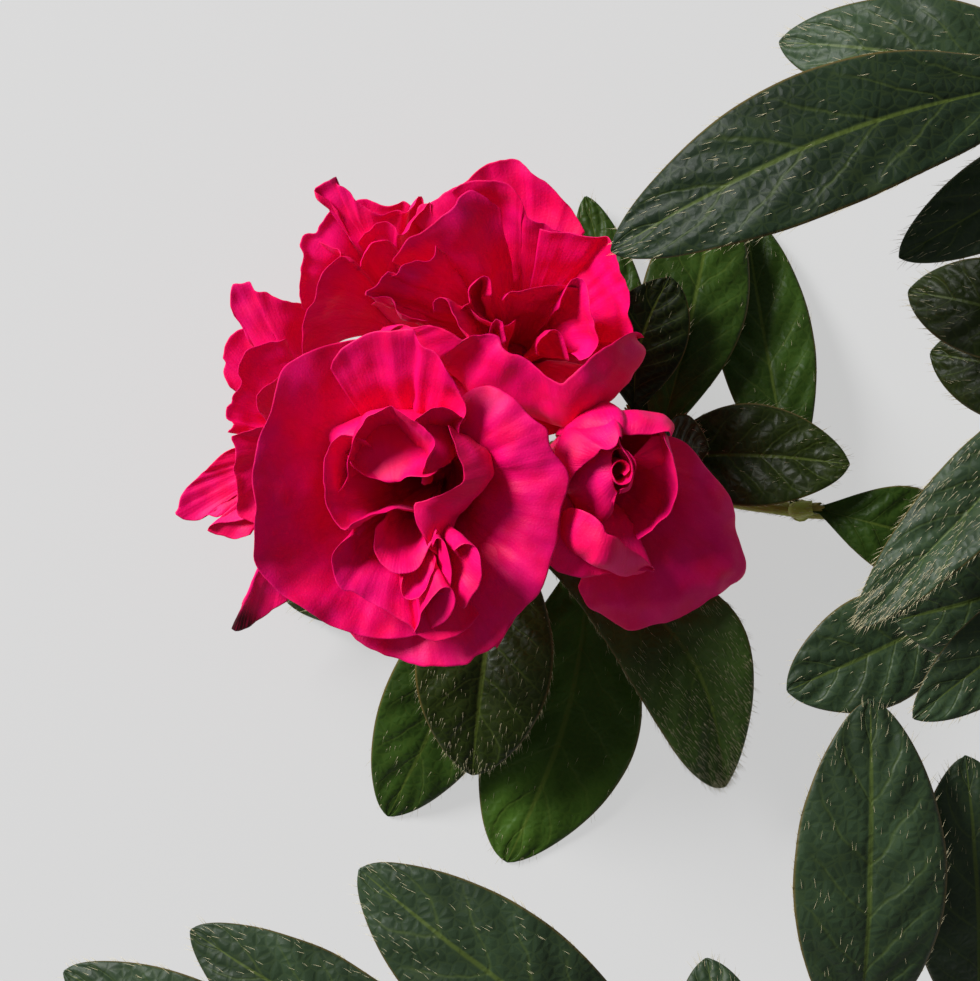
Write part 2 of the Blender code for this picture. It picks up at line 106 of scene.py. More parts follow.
GROOVE_DEPTH = 0.42             # of a leaf's midrib
QUILT_HEIGHT = 0.30             # of a leaf between its side veins
RECEPTACLE_RADII = (1.3, 2.6, 3.3, 3.0, 2.2, 1.0)
# Rings of small scales: the ring's radius, how many stand in it and how long they are.
BUD_SCALES = (1.9, 7, 5.0)
TWIG_SCALES = (TWIG_RADIUS * 0.7, 5, 3.0)
CALYX_LOBES = (CORE_FOOT_RADIUS * 0.95, 5, 4.2)
SCALE_THICK = 0.22
SEED = 7

# ---------------------------------------------------------------- the limbs, as in the solids
Limb = namedtuple("Limb", "name parent share points start_radius end_radius")
Skin = namedtuple("Skin", "finish sides relief flare bristles")
CLUSTER = (2, 12, 12)
LIMBS = (
    Limb("main_stem", None, 0, ((198, -30, 4.2), (162, -22, 5), (122, -10, 9)), 4.0, 3.0),
    Limb("flower_shoot", "main_stem", 1.0,
         ((92, -5, 12), (62, -4, 13), (34, 1, 10), (16, 7, 8.5), CLUSTER), 1.7, 1.3),
    Limb("upper_shoot", "main_stem", 0.94,
         ((124, 10, 28), (116, 38, 62), (106, 58, 84)), 1.9, 1.2),
    Limb("right_shoot", "main_stem", 0.86,
         ((132, -10, 36), (121, 2, 62), (108, 10, 78)), 1.8, 1.2),
    Limb("front_shoot", "main_stem", 0.92,
         ((121, -46, 26), (106, -80, 48), (86, -99, 62)), 2.0, 1.4),
    Limb("front_shoot_tip", "front_shoot", 1.0, ((66, -107, 68), (43, -105, 70)), 1.3, 1.1),
)

# How each kind of limb is skinned: the sides of its rings, the height of its relief, how far it
# flares where it leaves its parent, as a share of its radius, and its bristles on each mm.
STEM_SKIN = Skin("bark", 48, 0.34, 0.0, 2)
SHOOT_SKIN = Skin("shoot", 24, 0.12, 0.22, 11)
TWIG_SKIN = Skin("shoot", 14, 0.08, 0.22, 14)

# ---------------------------------------------------------------- the blooms
# A petal's margin is named by where the camera sees it, in pixels to the right and down, and its
# size then follows from its height under the camera: rise is how many mm the margin stands over
# the throat, and lip the angle in degrees at which the blade comes to it, over 90 where it leans
# back over the throat. Both are spaced evenly along the margin. pull is how many mm the blade
# keeps to that angle, 0 for a share of its size, ruffle how far the margin waves and curl how far
# its rim turns back, in mm.
Petal = namedtuple("Petal", "name margin rise lip pull ruffle curl")
Bloom = namedtuple("Bloom", "name throat root petals")

FRONT = Bloom("bloom_front", (-16.5, -1, 46), (-9, 5.5, 22), (
    Petal("left", ((378, 346), (362, 340), (345, 341), (317, 348), (296, 358), (279, 373),
        (270, 404), (257, 442), (254, 470), (253, 510), (254, 550), (262, 572), (289, 600),
        (329, 624), (371, 638), (404, 638), (428, 632)),
        (5, 6, 8, 11, 13, 14, 13, 11, 9, 7, 5, 4),
        (15, 15, 20, 32, 44, 46, 44, 40, 32, 22, 12, 5), 13, 0.15, 0.3),
    Petal("top", ((456, 440), (459, 427), (465, 409), (457, 385), (437, 354), (422, 345),
        (416, 328), (390, 330), (371, 332), (345, 346), (334, 358), (330, 368)),
        (9, 10, 12, 14, 14, 13, 12, 11, 10, 9), (70, 60, 50, 42, 32, 22, 15, 15, 15, 15),
        15, 0.2, 0.3),
    Petal("bottom", ((346, 628), (366, 647), (414, 664), (437, 666), (465, 665), (476, 656),
        (489, 651), (503, 638), (509, 624), (527, 604), (545, 575)), (0, 1, 3, 4, 4, 4),
        (10, 5, 0, 0, -5), 0, 0.4, 0.6),
    Petal("right", ((497, 648), (509, 628), (522, 610), (539, 593), (549, 567), (557, 541),
        (560, 515), (567, 489), (567, 470), (551, 448), (547, 430), (532, 418), (515, 400),
        (499, 390), (487, 387), (470, 392), (455, 404)), (3, 4, 5, 6, 7, 8, 9, 9, 6, 3),
        (-5, -8, -10, -13, -14, -12, -8, 0, 15), 14, 0.2, 0.4),
    Petal("lower_left", ((362, 532), (353, 528), (341, 539), (332, 555), (334, 581), (343, 591),
        (357, 595), (395, 617), (409, 627), (416, 636), (436, 642), (462, 634), (480, 615)),
        (11, 12, 11, 10, 10, 9, 8, 6), (70, 45, 25, 15, 12, 12, 15, 25), 12, 0.35, 0.4),
    Petal("behind", ((466, 420), (452, 408), (438, 404), (426, 408), (414, 416)), (9, 12, 13, 13),
        (70, 60, 60, 60), 0, 0.6, 0.4),
    Petal("inner_left", ((366, 438), (353, 436), (338, 438), (328, 451), (323, 470), (324, 494),
        (329, 510), (343, 527), (352, 523), (371, 515), (402, 513), (418, 518)),
        (14, 13, 13, 13, 13.5, 14, 12, 10), (70, 55, 45, 45, 50, 60, 75, 80), 0, 0.35, 0.4),
    Petal("hood", ((424, 484), (428, 470), (429, 456), (436, 441), (428, 426), (400, 409),
        (391, 404), (376, 414), (364, 423), (348, 454), (345, 475), (337, 491)),
        (14, 16, 17, 17, 18, 18, 17, 15, 13, 11), (75, 60, 50, 50, 65, 90, 95, 92, 88, 80),
        0, 0.3, 0.3),
    Petal("dome", ((430, 474), (418, 479), (390, 483), (375, 478), (362, 470), (352, 460)),
        (17, 15, 12, 11, 12, 14), (115, 142, 162, 162, 142, 112), 30, 0.25, 0.2),
    Petal("inner_right", ((428, 545), (417, 525), (414, 506), (422, 503), (451, 492), (464, 479),
        (461, 456), (452, 424)), (10, 11, 12, 13, 14, 14, 11), (150, 165, 170, 165, 150, 120, 90),
        16, 0.3, 0.3),
    Petal("pocket", ((378, 528), (376, 545), (380, 560), (392, 573), (410, 574), (424, 563),
        (436, 530)), (11, 11, 11, 10, 10), (50, 30, 22, 30, 50), 8, 0.25, 0.2),
    Petal("petaloid_a", ((455, 552), (466, 546), (477, 550), (481, 563), (478, 582), (470, 598),
        (463, 609), (455, 600)), (13, 14, 13, 10), (55, 35, 25, 20), 0, 0.3, 0.4),
    Petal("petaloid_b", ((430, 545), (438, 538), (448, 545), (450, 566), (447, 590), (440, 594),
        (430, 588)), (12, 13, 12, 11), (70, 60, 50, 50), 0, 0.4, 0.4),
    Petal("petaloid_c", ((402, 578), (403, 596), (412, 600), (422, 597), (431, 578), (436, 560)),
        (11, 12, 12, 11), (60, 45, 50, 60), 0, 0.7, 0.5),
    Petal("petaloid_d", ((416, 634), (436, 596), (449, 588), (453, 596), (450, 610), (442, 621),
        (430, 628)), (10, 13, 13, 10), (35, 30, 30, 25), 0, 0.3, 0.4),
))
UPPER = Bloom("bloom_upper", (7.5, 32.5, 38), (4, 24.5, 18), (
    Petal("back", ((414, 222), (420, 205), (432, 202), (450, 189), (463, 183), (489, 163),
        (513, 159), (523, 163), (535, 174), (547, 183), (569, 207), (585, 232)),
        (-4, -3, -3, -3, -4), (10, 25, 30, 30, 20), 0, 0.4, 0.5),
    Petal("top", ((452, 192), (463, 183), (489, 179), (509, 188), (524, 205), (527, 217),
        (545, 224), (562, 232)), (5, 6, 7, 4, 2), (40, 50, 60, 50, 40), 0, 0.4, 0.5),
    Petal("right", ((633, 345), (631, 302), (627, 282), (615, 250), (609, 236), (597, 239),
        (585, 237), (540, 228)), (6, 9, 11, 11, 9, 7, 5), (55, 72, 80, 80, 70, 60, 50),
        0, 0.35, 0.5),
    Petal("left", ((434, 246), (427, 257), (404, 263), (393, 273), (386, 270), (376, 284),
        (364, 291), (362, 297), (376, 301), (389, 303), (394, 313), (410, 318), (428, 322)),
        (6, 8, 9, 10, 10, 9, 8, 8), (60, 55, 50, 48, 55, 75, 88, 95), 0, 0.6, 0.7),
    Petal("upper_left", ((392, 262), (398, 249), (408, 237), (424, 231), (452, 209), (459, 197),
        (467, 190), (475, 190), (491, 199), (500, 210)), (5, 7, 8, 8, 7, 5),
        (50, 42, 38, 38, 42, 48), 0, 0.35, 0.4),
    Petal("low", ((386, 345), (393, 332), (410, 326), (430, 325), (452, 334), (461, 342),
        (469, 342), (475, 337), (487, 334), (498, 336), (502, 346), (511, 352), (523, 356),
        (537, 366), (549, 377), (561, 384), (571, 376), (583, 364), (611, 345), (635, 334),
        (644, 338)), (4, 9, 12, 13, 13, 13, 13, 13, 13, 14, 15, 15, 15, 14, 12),
        (100, 125, 145, 150, 150, 150, 150, 150, 150, 150, 150, 145, 140, 130, 80), 26, 0.3, 0.3),
    Petal("under", ((372, 362), (392, 405), (440, 432), (500, 446), (550, 436), (590, 410),
        (622, 384)), (-3, -3, -2, -1, 0), (25, 20, 15, 15, 30), 0, 0.3, 0.3),
    Petal("inner_top", ((504, 300), (511, 293), (525, 295), (543, 291), (571, 288), (580, 292)),
        (9, 10, 10, 9), (95, 95, 90, 85), 0, 0.4, 0.4),
    Petal("inner_right", ((562, 308), (570, 290), (577, 283), (584, 287), (590, 299), (595, 322),
        (595, 342), (589, 353), (578, 357)), (9, 11, 11, 11, 9), (65, 60, 60, 70), 0, 0.4, 0.4),
    Petal("tooth", ((536, 356), (539, 342), (545, 333), (552, 329), (560, 334), (570, 360)),
        (5, 7, 8, 7, 5), (80, 80, 80, 80), 0, 0.3, 0.3),
    Petal("curl", ((462, 312), (465, 307), (471, 302), (470, 290), (477, 281), (485, 278),
        (490, 283), (489, 296)), (8, 9, 10, 10, 9), (85, 100, 110, 120), 0, 0.3, 0.5),
    Petal("curl_low", ((464, 308), (474, 316), (488, 322), (504, 324), (516, 320)), (7, 8, 8, 7),
        (60, 70, 80, 90), 0, 0.5, 0.4),
    Petal("strip", ((434, 312), (434, 303), (439, 300), (445, 302), (449, 308), (451, 316),
        (457, 326), (469, 338)), (10, 11, 11, 12, 12), (50, 60, 70, 95), 0, 0.4, 0.5),
    Petal("spike", ((492, 338), (495, 326), (499, 324), (503, 342)), (11, 14, 12),
        (100, 100, 100), 0, 0.2, 0.3),
))
UPPER_LEFT = Bloom("bloom_upper_left", (-22, 41, 30), (-10.5, 27, 16), (
    Petal("point", ((424, 206), (420, 197), (407, 212), (398, 210), (384, 215), (375, 212),
        (358, 200), (349, 190), (337, 184), (336, 177), (316, 188), (321, 196), (334, 214)),
        (2, 4, 5, 5, 6, 6, 5), (30, 25, 20, 15, 15, 25, 40), 0, 0.6, 0.8),
    Petal("behind", ((412, 206), (404, 200), (396, 204), (384, 206), (368, 199), (358, 199),
        (350, 206)), (-4, -3, -4), (20, 20, 20), 0, 0.4, 0.5),
    Petal("second", ((334, 204), (320, 224), (315, 233), (305, 234), (300, 244), (303, 258),
        (300, 270), (299, 303), (306, 312)), (2, 3, 4, 3, 1, -1), (20, 10, 10, 15, 20, 25),
        0, 0.6, 0.8),
    Petal("corner", ((322, 240), (330, 249), (338, 250), (339, 256), (330, 262), (322, 272)),
        (5, 7, 7, 5), (70, 75, 80, 70), 0, 0.7, 0.6),
    Petal("left", ((352, 262), (340, 256), (320, 275), (314, 298), (307, 314), (302, 333),
        (301, 352), (304, 368)), (8, 9, 9, 8, 6, 4), (50, 38, 32, 28, 25, 22), 0, 0.3, 0.4),
    Petal("top", ((436, 236), (430, 203), (422, 213), (410, 222), (400, 232), (392, 226),
        (380, 222), (366, 230), (356, 240)), (3, 5, 6, 6, 4), (50, 55, 60, 60), 0, 0.7, 0.7),
    Petal("inner", ((398, 262), (396, 250), (388, 243), (376, 244), (364, 254), (356, 268)),
        (3, 6, 7, 5), (80, 80, 80, 80), 0, 0.7, 0.6),
    Petal("inner_low", ((372, 306), (384, 300), (396, 290), (402, 276), (400, 262)), (3, 5, 5, 4),
        (80, 85, 85, 80), 0, 0.6, 0.5),
))
LEFT = Bloom("bloom_left", (-36.5, 9.5, 26), (-17, 13, 15), (
    Petal("top", ((312, 318), (309, 306), (295, 302), (277, 298), (267, 292), (256, 291),
        (249, 281), (242, 284), (232, 286), (231, 309), (246, 331)), (1, 2, 4, 5, 5, 4, 2),
        (30, 25, 15, 10, 10, 20, 30), 0, 0.55, 0.7),
    Petal("upper", ((260, 330), (243, 328), (228, 338), (222, 358), (225, 364), (223, 372),
        (227, 383), (233, 389), (243, 392)), (-2, -2, -2, -2, -3), (15, 15, 10, 15, 15),
        0, 0.5, 0.6),
    Petal("middle", ((286, 338), (251, 348), (244, 354), (237, 372), (241, 382), (233, 396),
        (232, 403), (226, 409), (227, 419), (233, 424), (226, 432), (246, 428)),
        (5, 5, 5, 4, 3, 2), (50, 40, 30, 30, 30, 30), 0, 0.45, 0.5),
    Petal("lap", ((290, 372), (258, 389), (253, 400), (255, 412), (261, 422), (272, 430)),
        (6, 7, 7, 6), (60, 50, 50, 55), 0, 0.4, 0.5),
    Petal("low", ((262, 426), (235, 431), (229, 440), (235, 449), (234, 468), (237, 491),
        (236, 510), (244, 519), (272, 532)), (5, 4, 4, 3, 2, 1), (40, 30, 20, 20, 20, 20),
        0, 0.5, 0.5),
    Petal("tip", ((244, 444), (230, 448), (216, 458), (205, 470), (188, 486), (181, 498),
        (179, 508), (176, 514), (186, 520), (200, 520), (208, 515), (220, 517), (237, 502)),
        (-4, -5, -6, -6, -6, -5), (10, 5, 0, 0, 0, 5), 0, 0.5, 0.6),
    Petal("shred", ((250, 534), (236, 538), (214, 534), (207, 530), (216, 524), (232, 523),
        (246, 520)), (-3, -4, -4, -3), (10, 0, 0, 10), 0, 0.4, 0.5),
    Petal("withered", ((262, 580), (250, 590), (244, 604), (244, 614), (234, 629), (246, 627),
        (262, 618), (274, 608), (288, 600)), (-8, -9, -10, -9), (-15, -25, -25, -10),
        0, 0.4, 0.6),
))
SIDE = Bloom("bloom_side", (24, 4, 42), (14, 7.5, 21), (
    Petal("right", ((578, 586), (581, 595), (592, 611), (620, 626), (632, 628), (654, 622),
        (670, 620), (693, 609), (717, 595), (728, 584), (740, 575), (742, 564), (739, 543),
        (732, 511), (725, 494), (701, 462), (690, 447), (681, 440), (668, 436), (652, 436)),
        (-5, -7, -9, -10, -10, -8, -5, -1, 3, 5), (-25, -42, -50, -55, -52, -45, -30, 0),
        17, 0.08, 0.25),
    Petal("low", ((536, 520), (540, 548), (551, 567), (576, 577), (592, 577), (623, 572),
        (654, 571)), (8, 7, 6, 5, 4, 3, 3), (20, 10, 0, 0, 0, 10, 20), 0, 0.3, 0.3),
    Petal("low_edge", ((572, 506), (582, 510), (592, 515), (603, 525), (606, 533), (615, 537),
        (625, 546), (640, 556), (655, 570)), (8, 11, 12, 11, 8, 6, 3),
        (125, 160, 178, 178, 160, 130, 95), 18, 0.12, 0.1),
    Petal("wrap", ((638, 540), (655, 532), (668, 514), (674, 490), (672, 462), (666, 436),
        (655, 424)), (4, 6, 8, 9, 10, 10, 9), (80, 90, 98, 100, 98, 95, 88), 0, 0.12, 0.2),
    Petal("top", ((670, 437), (668, 431), (645, 432), (627, 433), (623, 428), (612, 428),
        (590, 436), (580, 444)), (10, 11, 11, 11, 10, 8), (120, 145, 150, 150, 145, 130),
        13, 0.35, 0.3),
    Petal("left_fold", ((622, 440), (620, 436), (614, 446), (607, 450), (600, 449), (597, 454),
        (576, 472), (566, 494)), (13, 14, 13, 11, 9, 7), (140, 150, 150, 150, 145, 130),
        15, 0.4, 0.3),
    Petal("roll", ((604, 500), (618, 494), (614, 486), (612, 462), (614, 451), (620, 446)),
        (7, 9, 10, 10, 9), (165, 165, 160, 150), 15, 0.15, 0.2),
    Petal("inner_right", ((621, 493), (630, 488), (634, 478), (634, 466), (630, 455), (624, 448),
        (620, 437)), (11, 12, 13, 13, 12), (95, 95, 95, 95), 0, 0.25, 0.3),
    Petal("heart", ((613, 453), (620, 450), (628, 456), (631, 468), (627, 480), (618, 482),
        (613, 472), (616, 464), (622, 462), (626, 468), (622, 474)), (11, 12, 12, 12, 11, 11),
        (92, 92, 92, 92, 90, 80), 0, 0.15, 0.2),
))
BLOOMS = (FRONT, UPPER, SIDE, UPPER_LEFT, LEFT)

# Where a margin has withered brown, and how far round that point, in mm.
WITHERED_TIPS = (
    ((-50.0, -27.5, 17.0), 7.5),
    ((-37.5, 21.0, 51.0), 2.2),
    ((-29.5, 59.0, 35.0), 2.6),
    ((-5.0, 26.0, 51.0), 1.6),
)

# ---------------------------------------------------------------- the masses of leaves
# Much as in the solids, with the tint of each leaf, how many hairs stand on a square centimetre
# and how far its middle bows to the side, in hundredths of its length. fold, roll and bearings are
# in degrees, arch in hundredths of the leaf's length. Of a whorl's leaves, those left out would
# cross a neighbour.
Leaf = namedtuple("Leaf", "name along tip width roll fold arch tint hairs bow", defaults=(0,))
Mass = namedtuple("Mass", "name parent share stem leaves whorl")
Whorl = namedtuple("Whorl", "count length width bearing_from bearing_to rise tint left_out")

MASSES = (
    Mass("leaves_low", "flower_shoot", 0.88, ((7, -1, 9), (3.5, -7, 10)), (
        Leaf("far_left", 1.0, (-21, -67, 0.6), 24, 0, 10, 10, "fresh", 6, -3),
        Leaf("dark", 0.8, (-3.5, -56.5, 14), 29, 0, 22, 12, "dark", 28, 2),
        Leaf("hidden", 0.8, (-42, -22.5, 0.6), 22, 0, 15, 12, "dark", 12),
    ), None),
    Mass("leaves_middle", "flower_shoot", 0.66, ((22, -7, 11), (10, -14, 12.5)), (
        # painted light: the back and hairy leaves take lighter tints to offset the blooms' shade
        Leaf("back", 0.6, (3.5, -76.5, 0.6), 31, 0, 6, 1, "bright", 6, -6),
        Leaf("hairy", 1.0, (46.5, -58.5, 16), 27, -8, 24, 14, "rich", 110, -20),
    ), None),
    Mass("leaves_upper", "flower_shoot", 0.68, ((34, 9, 11.5), (29, 15, 12.5)), (
        Leaf("dark", 1.0, (35, 41.5, 22), 18, 0, 12, 8, "deep", 6, -9),
        Leaf("middle", 0.4, (45.5, 60.5, 8), 22, 0, 12, 10, "fresh", 5),
        Leaf("tip", 0.7, (19.5, 60, 4), 13, 0, 8, 0, "fresh", 5),
        Leaf("right", 0.2, (69, 5, 27), 21, 8, 16, 9, "dark", 12, -5),
        Leaf("small", 0.5, (42, 8, 27), 13, 0, 16, 8, "dark", 12),
    ), None),
    Mass("leaves_node", "flower_shoot", 0.4, ((60.5, -3.8, 17), (63.5, -3.4, 18)), (
        Leaf("up", 0.4, (52.5, 57, 0.6), 20, 0, 8, 1, "fresh", 5),
        Leaf("right", 1.0, (94, -11, 15), 18, 0, 8, 14, "fresh", 14),
    ), None),
    Mass("leaves_top", "upper_shoot", 1.0, ((103, 62, 90), (95, 65.5, 96)), (
        Leaf("long", 0.9, (19, 37.5, 94), 23, -10, 14, 12, "slate", 14, 5),
        Leaf("back", 0.4, (47.5, 73.5, 80), 20, 0, 12, 10, "grey", 14),
        Leaf("low", 0.3, (65, 37, 90), 15, 0, 14, 8, "grey", 14),
    ), Whorl(4, 42, 17, -60, 95, 0.1, "grey", (1,))),
    Mass("leaves_side", "right_shoot", 0.98, ((106, 18, 84), (97, 25, 91)), (
        Leaf("folded", 1.0, (57, -21.5, 96), 16, -30, 30, 10, "grey", 110),
        Leaf("second", 0.8, (70.5, 33.5, 72), 17, 0, 14, 8, "dark", 12),
        Leaf("third", 0.3, (77, 24, 60), 19, 0, 12, 8, "dark", 12),
    ), Whorl(3, 40, 16, -70, 20, 0.1, "grey", (1,))),
    Mass("leaves_near", "right_shoot", 0.94, ((106, -3, 80), (97, -12, 82)), (
        Leaf("broad", 1.0, (67.5, -21.5, 76), 25, 20, 16, 8, "grey", 14),
        Leaf("end", 0.9, (67, -36, 91), 14, 0, 14, 8, "grey", 14),
    ), Whorl(3, 38, 16, -120, -20, 0.1, "grey", (2,))),
    Mass("leaves_low_side", "front_shoot", 0.42, ((106, -32, 38), (90, -20, 46)), (
        Leaf("round", 1.0, (53.5, -36, 50), 21, 0, 12, 6, "grey", 8),
    ), Whorl(3, 36, 16, -60, 60, 0.05, "fresh", ())),
    Mass("leaves_front", "front_shoot", 0.97, ((82, -94.5, 69.5), (60, -96, 75)), (
        Leaf("tall", 1.0, (60, -33, 92), 25, 0, 12, 10, "grey", 14),
        Leaf("second", 0.5, (77, -43, 84), 22, 0, 12, 10, "grey", 14),
    ), Whorl(4, 38, 18, -160, 0, 0.1, "grey", (1, 2))),
    Mass("leaves_front_left", "front_shoot_tip", 1.0, ((12, -101, 71), (-20, -103, 68)), (
        Leaf("upper", 0.2, (-21.5, -62.5, 78), 25, 0, 12, 8, "grey", 14),
        Leaf("middle", 0.65, (-50, -73.5, 74), 19, 0, 12, 8, "grey", 14),
        Leaf("lower", 1.0, (-73, -82.5, 66), 18, 0, 12, 8, "grey", 14),
        Leaf("short", 0.05, (37, -80, 67), 14, 0, 12, 8, "grey", 14),
    ), Whorl(4, 36, 17, 330, 190, 0.1, "grey", (1,))),
)

# ---------------------------------------------------------------- colours, linear
CRIMSON = (0.85, 0.0, 0.094, 1)
MAGENTA = (0.83, 0.0, 0.150, 1)
# Deep red of the veins; it also serves as painted shade towards each throat.
VEIN_AND_THROAT_SHADE_RED = (0.50, 0.0, 0.025, 1)
# Pink of the fine grain, and of the faint painted highlight along each petal's rim.
GRAIN_AND_RIM_HIGHLIGHT_PINK = (0.90, 0.035, 0.22, 1)
WITHERED = (0.045, 0.004, 0.008, 1)
LEAF_LOOKS = {                  # tint, roughness and how much light the skin mirrors
    "dark": ((0.010, 0.017, 0.002, 1), 0.42, 0.16),
    "fresh": ((0.018, 0.040, 0.005, 1), 0.44, 0.12),
    # painted light: the next two are lighter copies of the leaf green, for leaves in the blooms'
    # shade
    "bright": ((0.028, 0.062, 0.007, 1), 0.44, 0.12),
    "rich": ((0.026, 0.050, 0.009, 1), 0.42, 0.18),
    "deep": ((0.005, 0.010, 0.002, 1), 0.50, 0.10),
    "slate": ((0.009, 0.018, 0.008, 1), 0.50, 0.16),
    # grey: a duller, bluer green, partly the leaves' own tone and partly a painted reflection of
    # the pale surroundings
    "grey": ((0.017, 0.032, 0.014, 1), 0.50, 0.22),
}
LEAF_BACK = (0.085, 0.135, 0.060, 1)
VEIN = (0.085, 0.12, 0.018, 1)
LEAF_EDGE = (0.13, 0.085, 0.02, 1)
HAIR = (0.60, 0.53, 0.33, 1)
# The shoots' own yellow-green and brown, raised a little as painted light to offset the blooms'
# shade on the flower shoot.
SHOOT_GREEN = (0.37, 0.42, 0.07, 1)
SHOOT_BROWN = (0.31, 0.25, 0.05, 1)
BARK_BROWN = (0.17, 0.105, 0.062, 1)
BARK_PALE = (0.34, 0.27, 0.19, 1)
WOOD = (0.55, 0.42, 0.24, 1)
WHITE = (1.0, 1.0, 1.0, 1)
FLOOR = (0.14, 0.14, 0.14, 1)
FLOOR_GLOW = 0.54               # keeps the shadow on the ground pale
WORLD_GLOW = 0.2

# How fine the noises of colour and skin are, in cells to the metre or, for streaks, to a piece's
# width and length.
PETAL_STREAKS = (46, 2.2, 1)
PETAL_BLOTCH = 160.0
PETAL_GRAIN = 2600.0
VEIN_WOBBLE = 140.0
LEAF_NET = 520.0
LEAF_PATCH = 90.0
LEAF_GRAIN = 1500.0
LEAF_BACK_PATCH = 300.0
STEM_STREAKS = (14, 5, 1)
PLAIN_GRAIN = 700.0
WOOD_RINGS = 34.0

# ---------------------------------------------------------------- the studio, in metres
FLOOR_HALF = 12.0
KEY_PLACE = (-1.7, 1.25, 1.35)  # from the plant's middle
KEY_AIM_HEIGHT = 0.03
KEY_SIZE = 1.0
KEY_WATTS = 98.0


# ---------------------------------------------------------------- shader nodes
def wire(tree, kind, inputs, **settings):
    """A node with its settings and inputs: an input is a value, or an output that feeds it."""
    made = tree.nodes.new("ShaderNode" + kind)
    for key, value in settings.items():
        setattr(made, key, value)
    for key, value in inputs.items():
        if isinstance(value, bpy.types.NodeSocket):
            tree.links.new(value, made.inputs[key])
        else:
            made.inputs[key].default_value = value
    return made


def mesh_place(tree):
    """Where a point is on its sheet or skin: across it, and from its root outward."""
    return wire(tree, "UVMap", {}, uv_map="place").outputs[0]


def solid_place(tree):
    """Where a point is in space, in metres."""
    return wire(tree, "TexCoord", {}).outputs["Object"]


def maths(tree, operation, first, second=0.0):
    return wire(tree, "Math", {0: first, 1: second}, operation=operation).outputs[0]


def times(tree, first, second):
    return maths(tree, "MULTIPLY", first, second)


def lay_over(tree, colour, layers):
    """Lays colours over one: pairs of how much of a colour shows, and the colour."""
    for share, over in layers:
        inputs = {0: share, 6: colour, 7: over}
        colour = wire(tree, "Mix", inputs, data_type="RGBA").outputs[2]
    return colour


def ramp(tree, value, low, high, to_low=0.0, to_high=1.0):
    """A value's way from low to high, smoothed, as a way from to_low to to_high."""
    inputs = {0: value, 1: low, 2: high, 3: to_low, 4: to_high}
    return wire(tree, "MapRange", inputs, interpolation_type="SMOOTHSTEP").outputs[0]


def cloud(tree, vector, scale, detail=2.0):
    """A noise from 0 to 1."""
    return wire(tree, "TexNoise", {"Vector": vector, "Scale": scale, "Detail": detail}).outputs[0]


def start_material(name, roughness, gloss, more=()):
    """A new material with its nodes and its shader: gloss is how much light its skin mirrors."""
    made = bpy.data.materials.new(name)
    made.use_nodes = True
    tree = made.node_tree
    shader = tree.nodes["Principled BSDF"]
    for key, value in (("Roughness", roughness), ("Specular IOR Level", gloss), *more):
        shader.inputs[key].default_value = value
    return made, tree, shader


def finish_material(tree, shader, colour, layers):
    """Colours a shader and stacks its bumps: pairs of a height and how many metres it stands."""
    tree.links.new(colour, shader.inputs["Base Color"])
    normal = None
    for height, distance in layers:
        inputs = {"Height": height, "Distance": distance, "Strength": 1.0}
        if normal:
            inputs["Normal"] = normal
        normal = wire(tree, "Bump", inputs).outputs[0]
    tree.links.new(normal, shader.inputs["Normal"])


def petal_material(name, main, second):
    """Velvety, with fine veins, painted throat shade and a faint painted highlight on the rim."""
    made, tree, shader = start_material(name, 0.55, 0.16, (
        ("Sheen Weight", 0.1), ("Sheen Roughness", 0.35), ("Sheen Tint", (1.0, 0.2, 0.5, 1))))
    place = mesh_place(tree)
    solid = solid_place(tree)
    margin = wire(tree, "SeparateXYZ", {0: place}).outputs[1]
    streaks = wire(tree, "Mapping", {"Vector": place, "Scale": PETAL_STREAKS}).outputs[0]
    vein = cloud(tree, streaks, 1.0, 3.0)
    blotch = cloud(tree, solid, PETAL_BLOTCH)
    grain = cloud(tree, solid, PETAL_GRAIN)
    layers = [
        (ramp(tree, blotch, 0.35, 0.7), second),
        (ramp(tree, vein, 0.45, 0.75, 0, 0.14), VEIN_AND_THROAT_SHADE_RED),
        # painted shade: the blade grows darker towards the throat
        (ramp(tree, margin, 0.45, 0.1, 0, 0.5), VEIN_AND_THROAT_SHADE_RED),
        (ramp(tree, grain, 0.52, 0.72, 0, 0.16), GRAIN_AND_RIM_HIGHLIGHT_PINK),
        # painted highlight: a faint pale line along the rim, where the margin catches the light
        (ramp(tree, margin, 0.985, 1.0, 0, 0.04), GRAIN_AND_RIM_HIGHLIGHT_PINK),
    ]
    for tip, size in WITHERED_TIPS:
        middle = tuple((np.array(tip) + PLANT_TO_ROW) * MM)
        near = wire(tree, "VectorMath", {0: solid, 1: middle}, operation="DISTANCE")
        close = ramp(tree, near.outputs["Value"], size * MM, size * MM * 0.3)
        layers.append((times(tree, close, ramp(tree, vein, 0.2, 0.5)), WITHERED))
    colour = lay_over(tree, main, layers)
    finish_material(tree, shader, colour, ((vein, 0.00009), (grain, 0.00006)))
    return made


